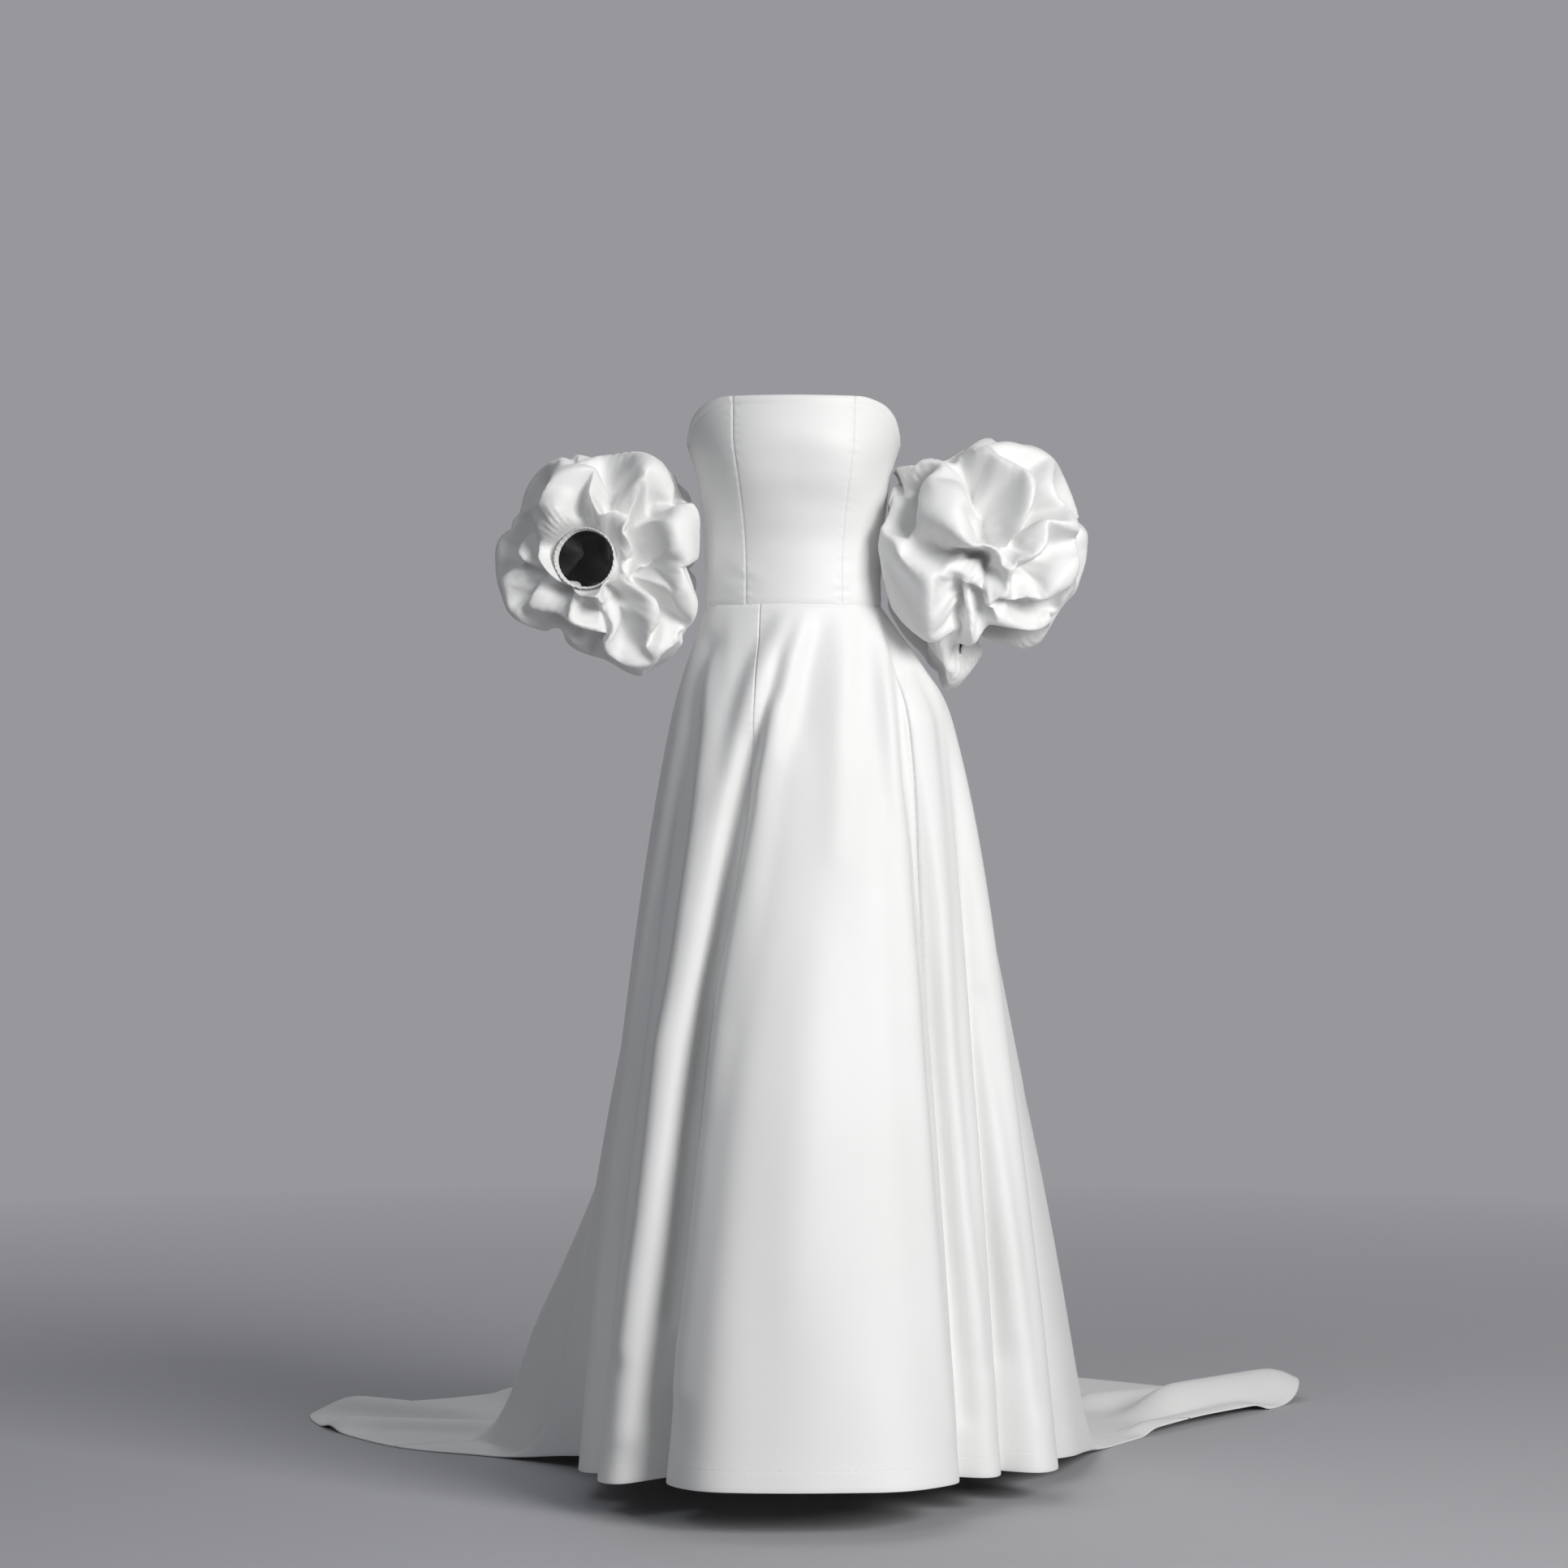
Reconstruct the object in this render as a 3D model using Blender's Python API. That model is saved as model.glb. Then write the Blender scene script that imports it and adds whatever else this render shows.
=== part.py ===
"""Strapless satin wedding dress with a boned bodice, a gored skirt with a train, and two puff sleeves.

Metres, +Z up. The origin is the middle of the waist ring, where the wearer holds the dress up.
The front faces -Y, the train lies behind along +Y, and the floor is FLOOR_Z below the waist.
Angles around the body are in degrees: 0 at the front, positive towards +X, 180 at the back.
Every piece is a wall of cloth with an outer and an inner skin, and neighbours leave a seam gap.
"""

import math
from collections import namedtuple

import bpy
import numpy as np

# Driving sizes
WAIST_HEIGHT = 1.105
FLOOR_Z = -WAIST_HEIGHT
CLOTH = 0.002
SEAM_GAP = 0.0003
HALF_GAP = SEAM_GAP / 2

# Bodice sizes
BodiceRing = namedtuple("BodiceRing", "z side front back")
BODICE_RINGS = [
    BodiceRing(-0.002, 0.108, 0.084, 0.079),
    BodiceRing(0.030, 0.107, 0.083, 0.080),
    BodiceRing(0.070, 0.109, 0.084, 0.083),
    BodiceRing(0.110, 0.113, 0.094, 0.089),
    BodiceRing(0.157, 0.119, 0.111, 0.095),
    BodiceRing(0.200, 0.131, 0.118, 0.098),
    BodiceRing(0.255, 0.137, 0.108, 0.098),
]
NecklinePoint = namedtuple("NecklinePoint", "angle z")
NECKLINE = [
    NecklinePoint(0, 0.250),
    NecklinePoint(35, 0.250),
    NecklinePoint(52, 0.243),
    NecklinePoint(66, 0.229),
    NecklinePoint(80, 0.208),
    NecklinePoint(95, 0.196),
    NecklinePoint(120, 0.188),
    NecklinePoint(180, 0.182),
]
BUST_ANGLE = 34
BUST_SPREAD = 20
BUST_Z = 0.168
BUST_DROP = 0.048
BUST_RISE = 0.007
BODICE_ROWS = 8
PANEL_STEP = 8.0
ANGLE_STEP = 1.0
ZIP_HALF_ANGLE = 2.9
BODICE_SEAMS = {"princess": 33, "side": 88, "side_back": 134}

# Skirt sizes
HIP_Z = -0.137
HIP_LEFT = 0.150
HIP_RIGHT = 0.193
HIP_FRONT = 0.112
HIP_BACK = 0.135
FLARE_BOW = 0.40
FoldLine = namedtuple("FoldLine", "name waist_deg hip_deg hem_x hem_y lift")
FOLD_LINES = [
    FoldLine("left_back_fold", -122, -122, -0.300, 0.270, 0.016),
    FoldLine("left_back_valley", -111, -112, -0.250, 0.175, 0.030),
    FoldLine("left_1_back", -98, -97, -0.262, 0.075, 0.038),
    FoldLine("left_1", -80, -76, -0.263, -0.010, 0.040),
    FoldLine("left_1_valley", -66, -62, -0.214, -0.035, 0.042),
    FoldLine("left_2_edge", -57, -53, -0.242, -0.090, 0.044),
    FoldLine("left_2", -44, -38, -0.212, -0.138, 0.046),
    FoldLine("left_2_inner", -32, -26, -0.176, -0.116, 0.048),
    FoldLine("left_2_valley", -22, -18, -0.132, -0.088, 0.050),
    FoldLine("panel_left_edge", -13, -11, -0.155, -0.160, 0.052),
    FoldLine("panel_left", -5, -4, -0.112, -0.238, 0.055),
    FoldLine("panel_middle_left", 6, 5, -0.035, -0.258, 0.056),
    FoldLine("panel_middle_right", 24, 16, 0.055, -0.256, 0.056),
    FoldLine("panel_right", 42, 28, 0.135, -0.232, 0.054),
    FoldLine("panel_right_edge", 58, 39, 0.200, -0.145, 0.050),
    FoldLine("right_1_valley", 68, 46, 0.186, -0.080, 0.047),
    FoldLine("right_1", 76, 56, 0.238, -0.086, 0.045),
    FoldLine("right_1_edge", 84, 67, 0.256, -0.040, 0.044),
    FoldLine("right_2_valley", 90, 74, 0.240, 0.000, 0.042),
    FoldLine("right_2", 96, 84, 0.303, -0.016, 0.040),
    FoldLine("right_2_edge", 103, 93, 0.331, 0.042, 0.038),
    FoldLine("right_3_valley", 109, 102, 0.302, 0.105, 0.034),
    FoldLine("right_3", 117, 112, 0.355, 0.190, 0.028),
    FoldLine("right_3_edge", 126, 123, 0.384, 0.300, 0.018),
]

# Train sizes
KNEE_Z = -0.600
TrainLine = namedtuple("TrainLine", "name waist_deg knee_x knee_y land_x land_y hem_x hem_y")
TRAIN_LINES = [
    TrainLine("right_seam", 136, 0.275, 0.252, 0.380, 0.375, 0.425, 0.440),
    TrainLine("right_side", 145, 0.250, 0.285, 0.374, 0.478, 0.548, 0.622),
    TrainLine("right_tip_front", 152, 0.222, 0.310, 0.370, 0.545, 0.700, 0.815),
    TrainLine("right_tip", 158, 0.190, 0.328, 0.352, 0.605, 0.725, 0.925),
    TrainLine("right_tip_back", 164, 0.152, 0.340, 0.335, 0.665, 0.595, 0.965),
    TrainLine("right_back", 171, 0.100, 0.352, 0.225, 0.725, 0.385, 1.115),
    TrainLine("back_middle", 180, 0.030, 0.358, 0.060, 0.755, 0.080, 1.310),
    TrainLine("left_back", 189, -0.040, 0.352, -0.115, 0.735, -0.225, 1.165),
    TrainLine("left_tip_back", 196, -0.090, 0.338, -0.235, 0.690, -0.455, 0.905),
    TrainLine("left_tip", 202, -0.130, 0.320, -0.350, 0.640, -0.650, 0.790),
    TrainLine("left_tip_front", 208, -0.165, 0.298, -0.415, 0.570, -0.662, 0.650),
    TrainLine("left_side", 216, -0.195, 0.272, -0.425, 0.480, -0.535, 0.442),
    TrainLine("left_seam", 227, -0.222, 0.235, -0.345, 0.372, -0.390, 0.352),
]
LOW_SHARE = 0.40
LOW_HEIGHT = 0.165
FLAT_HEIGHT = 0.045
TRAIN_START = 0.34
TRAIN_BLEND = 0.07
STEPS_PER_LINE = 3
STATION_STEP = 0.1
SKIRT_LEVELS = [0.0, 0.13, 0.56, 0.76, 0.86, 1.0]
SKIRT_ROWS = [0.0, 0.04, 0.085, 0.13, 0.20, 0.30, 0.43, 0.56, 0.67, 0.76, 0.82, 0.86, 0.91, 0.96, 1.0]

# Raised folds of the train, from one floor point to another
TrainFold = namedtuple("TrainFold", "x0 y0 x1 y1 width height")
TRAIN_FOLDS = [
    TrainFold(0.520, 0.720, 0.700, 0.905, 0.065, 0.042),
    TrainFold(0.420, 0.800, 0.600, 0.900, 0.050, 0.020),
    TrainFold(0.480, 0.560, 0.640, 0.760, 0.040, 0.014),
    TrainFold(-0.440, 0.640, -0.620, 0.760, 0.055, 0.022),
    TrainFold(-0.430, 0.560, -0.610, 0.600, 0.045, 0.016),
    TrainFold(-0.300, 0.780, -0.400, 0.880, 0.045, 0.018),
    TrainFold(0.240, 0.820, 0.320, 1.080, 0.055, 0.022),
    TrainFold(0.050, 0.840, 0.060, 1.200, 0.060, 0.018),
    TrainFold(-0.120, 0.820, -0.180, 1.060, 0.055, 0.022),
]

# Puff sleeve sizes
Sleeve = namedtuple("Sleeve", "centre depth top_dir top_angle low_dir low_angle reach")
Reach = namedtuple("Reach", "clock_deg reach")
RIGHT_REACH = [
    Reach(0, 0.126), Reach(30, 0.140), Reach(60, 0.150), Reach(90, 0.139), Reach(120, 0.141),
    Reach(150, 0.131), Reach(180, 0.137), Reach(210, 0.130), Reach(240, 0.110), Reach(270, 0.121),
    Reach(290, 0.146), Reach(315, 0.148), Reach(340, 0.134),
]
LEFT_REACH = [
    Reach(0, 0.135), Reach(30, 0.142), Reach(60, 0.155), Reach(85, 0.152), Reach(110, 0.139),
    Reach(135, 0.155), Reach(165, 0.137), Reach(200, 0.131), Reach(235, 0.142), Reach(254, 0.172),
    Reach(280, 0.112), Reach(300, 0.132), Reach(330, 0.123),
]
SLEEVES = {
    "right": Sleeve(
        centre=(-0.236, -0.004, 0.052), depth=0.124, top_dir=(0.053, 0.020, 0.134), top_angle=19,
        low_dir=(-0.030, -0.130, 0.004), low_angle=21, reach=RIGHT_REACH,
    ),
    "left": Sleeve(
        centre=(0.232, 0.000, 0.057), depth=0.128, top_dir=(-0.066, 0.010, 0.130), top_angle=19,
        low_dir=(0.013, -0.020, -0.115), low_angle=21, reach=LEFT_REACH,
    ),
}
Crease = namedtuple("Crease", "x0 z0 x1 z1 face width height")
FRONT, BACK = -1, 1
SLEEVE_CREASES = {
    "right": [
        Crease(-0.020, 0.055, 0.062, 0.022, FRONT, 0.026, 0.016),
        Crease(0.050, -0.002, 0.025, -0.140, FRONT, 0.024, 0.020),
        Crease(0.084, 0.106, 0.073, 0.046, FRONT, 0.026, 0.012),
        Crease(0.061, -0.027, 0.107, -0.073, FRONT, 0.022, 0.014),
        Crease(-0.070, 0.100, -0.030, 0.075, FRONT, 0.022, 0.015),
        Crease(-0.100, 0.060, -0.060, 0.080, FRONT, 0.020, 0.012),
        Crease(-0.100, -0.038, -0.050, -0.020, FRONT, 0.020, -0.016),
        Crease(-0.085, -0.068, 0.000, -0.105, FRONT, 0.026, 0.013),
        Crease(0.020, 0.010, 0.095, -0.050, FRONT, 0.018, -0.016),
        Crease(-0.090, 0.070, 0.000, 0.090, BACK, 0.028, 0.014),
        Crease(0.060, 0.080, 0.080, -0.060, BACK, 0.026, 0.013),
        Crease(-0.080, 0.020, -0.040, -0.090, BACK, 0.028, 0.015),
        Crease(-0.020, 0.050, 0.030, -0.080, BACK, 0.022, -0.013),
    ],
    "left": [
        Crease(-0.031, 0.120, 0.008, 0.041, FRONT, 0.026, 0.016),
        Crease(0.008, 0.041, 0.033, -0.032, FRONT, 0.024, 0.018),
        Crease(-0.100, 0.110, -0.098, 0.055, FRONT, 0.020, -0.010),
        Crease(-0.083, 0.010, -0.055, -0.025, FRONT, 0.026, 0.013),
        Crease(-0.050, -0.045, -0.048, -0.155, FRONT, 0.020, -0.013),
        Crease(-0.022, -0.043, -0.015, -0.110, FRONT, 0.022, 0.015),
        Crease(-0.020, -0.040, 0.080, -0.025, FRONT, 0.024, 0.016),
        Crease(0.050, 0.040, 0.095, 0.100, FRONT, 0.026, 0.013),
        Crease(0.057, 0.046, 0.110, -0.020, FRONT, 0.022, -0.014),
        Crease(0.060, 0.020, 0.120, 0.040, FRONT, 0.022, 0.012),
        Crease(-0.060, 0.100, 0.000, 0.020, BACK, 0.028, 0.014),
        Crease(0.060, 0.090, 0.080, -0.050, BACK, 0.026, 0.014),
        Crease(-0.080, 0.000, -0.030, -0.100, BACK, 0.026, 0.014),
        Crease(0.010, 0.050, 0.040, -0.070, BACK, 0.022, -0.013),
    ],
}
SLEEVE_COLUMNS = 40
SLEEVE_ROWS = 16
GATHERS = 10
GATHER_DEPTH = 0.0032
GATHER_REACH = 0.15
TURN_IN_TOP = 0.05
TURN_IN_LOW = 0.11
TURN_WIDTH = 0.11
BODY_CLEARANCE = 0.0035
HIP_EASE = 0.012
HIP_RUN_ON = 1.6
LEAST_SHARE = 0.2
CUFF_LENGTH = 0.014

# Colours and finishes
SATIN = ("white_satin", (0.86, 0.86, 0.85, 1.0), 0.38)
ZIP_TAPE = ("zip_tape", (0.82, 0.82, 0.81, 1.0), 0.55)


def clear_scene():
    """Remove the objects that a new file starts with."""
    for item in list(bpy.data.objects):
        bpy.data.objects.remove(item, do_unlink=True)


def material(spec):
    """Return the Principled material of a (name, colour, roughness) finish, made once."""
    name, colour, roughness = spec
    found = bpy.data.materials.get(name)
    if found:
        return found
    made = bpy.data.materials.new(name)
    made.use_nodes = True
    shader = made.node_tree.nodes["Principled BSDF"]
    shader.inputs["Base Color"].default_value = colour
    shader.inputs["Roughness"].default_value = roughness
    shader.inputs["Metallic"].default_value = 0.0
    return made


def slopes(keys, values):
    """Return the slopes of a curve through values that never overshoots them."""
    steps = np.diff(keys)
    rises = np.diff(values, axis=0) / steps[:, None]
    found = np.zeros_like(values)
    before, after = rises[:-1], rises[1:]
    same_way = before * after > 0
    safe = np.where(same_way, before + after, 1.0)
    found[1:-1] = np.where(same_way, 2 * before * after / safe, 0.0)
    found[0] = rises[0]
    found[-1] = rises[-1]
    return found


def hermite(keys, values, tangents, at):
    """Read a curve through values at keys, with the given slopes."""
    index = np.clip(np.searchsorted(keys, at, side="right") - 1, 0, len(keys) - 2)
    width = (keys[index + 1] - keys[index])[:, None]
    s = (at - keys[index])[:, None] / width
    start, end = values[index], values[index + 1]
    lead, trail = tangents[index] * width, tangents[index + 1] * width
    return (
        (2 * s**3 - 3 * s**2 + 1) * start
        + (s**3 - 2 * s**2 + s) * lead
        + (3 * s**2 - 2 * s**3) * end
        + (s**3 - s**2) * trail
    )


def calm_curve(keys, values, at):
    """Read a curve that never overshoots its values."""
    keys = np.asarray(keys, float)
    values = np.asarray(values, float)
    flat = values.ndim == 1
    if flat:
        values = values[:, None]
    at = np.clip(np.atleast_1d(np.asarray(at, float)), keys[0], keys[-1])
    found = hermite(keys, values, slopes(keys, values), at)
    return found[:, 0] if flat else found


def round_curve(values, at):
    """Read a closed smooth curve through values at whole numbers."""
    values = np.asarray(values, float)
    count = len(values)
    tangents = (np.roll(values, -1, axis=0) - np.roll(values, 1, axis=0)) / 2
    keys = np.arange(count + 1.0)
    ring = np.vstack([values, values[:1]])
    ends = np.vstack([tangents, tangents[:1]])
    return hermite(keys, ring, ends, np.mod(at, count))


def grid_normals(grid, across):
    """Return the outward unit normals of a (rows, columns, 3) grid, given its steps across the columns."""
    normals = np.cross(np.gradient(grid, axis=0), across)
    lengths = np.linalg.norm(normals, axis=2, keepdims=True)
    return normals / np.maximum(lengths, 1e-12)


def add_wall(name, outer, inner, wraps, finish):
    """Make a closed wall between two grids of points.

    outer and inner are (rows, columns, 3). The columns run to +X from the front, and the rows run
    down. A grid that wraps is a tube and has rims at its first and last row only.
    """
    rows, columns = outer.shape[:2]
    points = np.vstack([outer.reshape(-1, 3), inner.reshape(-1, 3)])
    skin = rows * columns
    faces = []
    spans = columns if wraps else columns - 1
    for row in range(rows - 1):
        for column in range(spans):
            right = (column + 1) % columns
            a, b = row * columns + column, row * columns + right
            c, d = a + columns, b + columns
            faces.append((a, c, d, b))
            faces.append((skin + a, skin + b, skin + d, skin + c))
    last = (rows - 1) * columns
    for column in range(spans):
        right = (column + 1) % columns
        faces.append((column, right, skin + right, skin + column))
        faces.append((last + right, last + column, skin + last + column, skin + last + right))
    if not wraps:
        edge = columns - 1
        for row in range(rows - 1):
            a, c = row * columns, (row + 1) * columns
            faces.append((c, a, skin + a, skin + c))
            faces.append((c + edge, skin + c + edge, skin + a + edge, a + edge))
    mesh = bpy.data.meshes.new(name)
    mesh.from_pydata([tuple(point) for point in points], [], faces)
    mesh.validate()
    mesh.shade_smooth()
    mesh.materials.append(material(finish))
    made = bpy.data.objects.new(name, mesh)
    bpy.context.scene.collection.objects.link(made)
    return made


def trimmed(grid):
    """Pull the first and last columns of a grid in by half a seam gap along the cloth."""
    grid = grid.copy()
    for edge, inside in ((0, 1), (-1, -2)):
        step = grid[:, inside] - grid[:, edge]
        grid[:, edge] += step * (HALF_GAP / np.linalg.norm(step, axis=1, keepdims=True))
    return grid


def bodice_point(angles, heights):
    """Return points on the outside of the bodice at angles around the body and heights."""
    keys = [ring.z for ring in BODICE_RINGS]
    sizes = [(ring.side, ring.front, ring.back) for ring in BODICE_RINGS]
    read = calm_curve(keys, sizes, heights.ravel()).reshape(heights.shape + (3,))
    turn = np.radians(angles)
    depth = np.where(np.cos(turn) > 0, read[..., 1], read[..., 2])
    from_bust = (np.abs(angles) - BUST_ANGLE) / BUST_SPREAD
    swell = BUST_RISE * np.exp(-from_bust**2) * np.exp(-(((heights - BUST_Z) / BUST_DROP) ** 2))
    x = (read[..., 0] + swell) * np.sin(turn)
    y = -(depth + swell) * np.cos(turn)
    return np.stack([x, y, heights], axis=-1)


def neckline_z(angles):
    """Return the height of the bodice's top edge at angles around the body."""
    keys = [point.angle for point in NECKLINE]
    return calm_curve(keys, [point.z for point in NECKLINE], np.abs(angles).ravel()).reshape(angles.shape)


def level_ends(normals):
    """Make the normals of the first and last rows level, so that seams meet face to face."""
    level = normals.copy()
    for row in (0, -1):
        level[row, :, 2] = 0.0
        level[row] /= np.linalg.norm(level[row], axis=1, keepdims=True)
    return level


def bodice_grid(angles):
    """Return the outside of the bodice from its neckline down to the waist seam."""
    rows = np.linspace(0.0, 1.0, BODICE_ROWS)[:, None]
    turn = np.broadcast_to(angles, (BODICE_ROWS, len(angles)))
    top = neckline_z(angles)[None, :]
    heights = top + rows * (HALF_GAP - top)
    return bodice_point(turn, heights)


def add_bodice_panel(name, start, end, finish=SATIN):
    """Make one bodice panel between two angles around the body."""
    count = max(3, round((end - start) / PANEL_STEP) + 1)
    angles = np.linspace(start, end, count)
    whole = bodice_grid(angles)
    outer = trimmed(whole)
    across = bodice_grid(angles + ANGLE_STEP) - bodice_grid(angles - ANGLE_STEP)
    normals = level_ends(grid_normals(whole, across))
    return add_wall(name, outer, outer - normals * CLOTH, False, finish)


def make_bodice():
    """Make the front, side and back panels of the bodice, and the zip in the back."""
    princess, side, side_back = BODICE_SEAMS["princess"], BODICE_SEAMS["side"], BODICE_SEAMS["side_back"]
    back_edge = 180 - ZIP_HALF_ANGLE
    add_bodice_panel("bodice_front", -princess, princess)
    for hand, sign in (("right", -1), ("left", 1)):
        spans = {
            "side_front": (princess, side),
            "side_back": (side, side_back),
            "back": (side_back, back_edge),
        }
        for place, (near, far) in spans.items():
            start, end = sorted((sign * near, sign * far))
            add_bodice_panel(f"bodice_{place}_{hand}", start, end)
    add_bodice_panel("back_zip", back_edge, 360 - back_edge, ZIP_TAPE)


def hip_point(angle):
    """Return the plan point of the hip ring at an angle around the body."""
    turn = math.radians(angle)
    side = HIP_RIGHT if math.sin(turn) > 0 else HIP_LEFT
    depth = HIP_FRONT if math.cos(turn) > 0 else HIP_BACK
    return side * math.sin(turn), -depth * math.cos(turn)


def waist_point(angle):
    """Return the plan point of the waist ring at an angle around the body."""
    point = bodice_point(np.array([[float(angle)]]), np.array([[0.0]]))[0, 0]
    return point[0], point[1]


def toward(start, end, share):
    """Return the point a share of the way from start to end."""
    return tuple(a + (b - a) * share for a, b in zip(start, end))


def fold_line_levels(line):
    """Return the six points, waist to hem, of a skirt line that ends at a hem clear of the floor."""
    hem_z = FLOOR_Z + line.lift
    hip = hip_point(line.hip_deg)
    hem = (line.hem_x, line.hem_y)
    levels = [(*waist_point(line.waist_deg), 0.0), (*hip, HIP_Z)]
    for level in SKIRT_LEVELS[2:]:
        share = (level - SKIRT_LEVELS[1]) / (1 - SKIRT_LEVELS[1])
        spread = share + FLARE_BOW * share * (1 - share)
        levels.append((*toward(hip, hem, spread), HIP_Z + (hem_z - HIP_Z) * share))
    return levels


def train_line_levels(line):
    """Return the six points, waist to hem, of a skirt line that lands and runs along the floor."""
    knee, land, hem = (line.knee_x, line.knee_y), (line.land_x, line.land_y), (line.hem_x, line.hem_y)
    ground = FLOOR_Z + CLOTH
    return [
        (*waist_point(line.waist_deg), 0.0),
        (*hip_point(line.waist_deg), HIP_Z),
        (*knee, KNEE_Z),
        (*toward(land, knee, LOW_SHARE), ground + LOW_HEIGHT),
        (*land, ground),
        (*hem, ground),
    ]


def skirt_lines():
    """Return the points of every skirt line, from the left back round the front to the train."""
    lines = [fold_line_levels(line) for line in FOLD_LINES]
    lines += [train_line_levels(line) for line in TRAIN_LINES]
    return np.array(lines)


def train_lift(x, y):
    """Return how high the train's folds stand above the floor at plan points."""
    height = np.zeros_like(x)
    for fold in TRAIN_FOLDS:
        dx, dy = fold.x1 - fold.x0, fold.y1 - fold.y0
        along = np.clip(((x - fold.x0) * dx + (y - fold.y0) * dy) / (dx * dx + dy * dy), 0.0, 1.0)
        away = np.hypot(x - fold.x0 - along * dx, y - fold.y0 - along * dy)
        near = np.clip(1 - (away / fold.width) ** 2, 0.0, 1.0)
        height = np.maximum(height, fold.height * near**2)
    return height


def on_floor(grid):
    """Return how far points belong to the train that lies on the floor, from 0 to 1."""
    height = grid[..., 2] - FLOOR_Z - CLOTH
    low = np.clip((LOW_HEIGHT - height) / (LOW_HEIGHT - FLAT_HEIGHT), 0.0, 1.0)
    return low * np.clip((grid[..., 1] - TRAIN_START) / TRAIN_BLEND, 0.0, 1.0)


def skirt_grid(lines, stations):
    """Return the outside of the skirt at stations around it, from the waist seam to the hem."""
    around = np.stack([round_curve(lines[:, level], stations) for level in range(len(SKIRT_LEVELS))])
    columns = [calm_curve(SKIRT_LEVELS, around[:, i], SKIRT_ROWS) for i in range(len(stations))]
    grid = np.stack(columns, axis=1)
    grid[0, :, 2] = -HALF_GAP
    ground = FLOOR_Z + CLOTH
    grid[..., 2] = np.maximum(grid[..., 2], ground)
    grid[..., 2] += on_floor(grid) * train_lift(grid[..., 0], grid[..., 1])
    return grid


def add_gore(name, lines, first, last):
    """Make one gore of the skirt between two of its lines."""
    count = (last - first) * STEPS_PER_LINE + 1
    stations = np.linspace(first, last, count)
    whole = skirt_grid(lines, stations)
    outer = trimmed(whole)
    across = skirt_grid(lines, stations + STATION_STEP) - skirt_grid(lines, stations - STATION_STEP)
    normals = grid_normals(whole, across)
    normals[0, :, 2] = 0.0
    flat = on_floor(whole)[..., None]
    normals = normals * (1 - flat) + np.array([0.0, 0.0, 1.0]) * flat
    normals /= np.linalg.norm(normals, axis=2, keepdims=True)
    inner = outer - normals * CLOTH
    inner[..., 2] = np.maximum(inner[..., 2], FLOOR_Z)
    return add_wall(name, outer, inner, False, SATIN)


def make_skirt():
    """Make the gores of the skirt, whose back ones run on into the train."""
    lines = skirt_lines()
    names = [line.name for line in FOLD_LINES + TRAIN_LINES]
    cuts = {
        "skirt_side_right": ("left_back_valley", "left_2_valley"),
        "skirt_front": ("left_2_valley", "right_1_valley"),
        "skirt_side_left": ("right_1_valley", "right_3_valley"),
        "skirt_side_back_left": ("right_3_valley", "right_side"),
        "skirt_back_left": ("right_side", "back_middle"),
        "skirt_back_right": ("back_middle", "left_side"),
    }
    for name, (first, last) in cuts.items():
        add_gore(name, lines, names.index(first), names.index(last))
    around = len(names)
    first, last = names.index("left_side"), around + names.index("left_back_valley")
    add_gore("skirt_side_back_right", lines, first, last)


def unit(vector):
    """Return a vector of length 1."""
    vector = np.asarray(vector, float)
    return vector / np.linalg.norm(vector)


def sleeve_directions(sleeve, columns, rows):
    """Return unit directions from a puff's middle in rings from its upper to its lower opening.

    The rings are circles cut from a ball by planes that share one line beside the ball, so that
    they turn from one opening to the other without meeting.
    """
    top, low = unit(sleeve.top_dir), unit(sleeve.low_dir)
    top_angle, low_angle = math.radians(sleeve.top_angle), math.radians(sleeve.low_angle)
    side = unit(np.cross(top, low))
    across = np.cross(side, top)
    low_turn = math.atan2(low @ across, low @ top)
    planes = np.array([[1.0, 0.0], [math.cos(low_turn), math.sin(low_turn)]])
    hinge = np.linalg.solve(planes, np.array([math.cos(top_angle), math.cos(low_angle)]))
    start = top_angle
    end = 2 * math.pi - low_turn - low_angle
    rings = []
    for share in np.linspace(0.0, 1.0, rows):
        turn = -(start + (end - start) * share)
        far = np.array([math.cos(turn), math.sin(turn)])
        way = far - hinge
        cross = (hinge @ hinge - 1) / (way @ way)
        near = hinge + way * cross
        middle, half = (far + near) / 2, np.linalg.norm(far - near) / 2
        axis = (far - near) / (2 * half)
        spin = np.linspace(0.0, 2 * math.pi, columns, endpoint=False)
        flat = middle[None, :] + half * np.cos(spin)[:, None] * axis[None, :]
        ring = flat[:, :1] * top + flat[:, 1:] * across + half * np.sin(spin)[:, None] * side
        rings.append(ring)
    return np.array(rings)


def crease_relief(directions, creases, reach):
    """Return how far a puff's creases stand out along its directions."""
    relief = np.zeros(directions.shape[:2])
    for crease in creases:
        ends = []
        for x, z in ((crease.x0, crease.z0), (crease.x1, crease.z1)):
            depth = math.sqrt(max(reach * reach - x * x - z * z, 0.0))
            ends.append(unit((x, crease.face * depth, z)) * reach)
        start, end = ends
        way = end - start
        points = directions * reach
        along = np.clip(((points - start) @ way) / (way @ way), 0.0, 1.0)
        spot = start + along[..., None] * way
        spot *= reach / np.linalg.norm(spot, axis=2, keepdims=True)
        away = np.linalg.norm(points - spot, axis=2)
        relief += crease.height * np.exp(-((away / crease.width) ** 2))
    return relief


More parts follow.
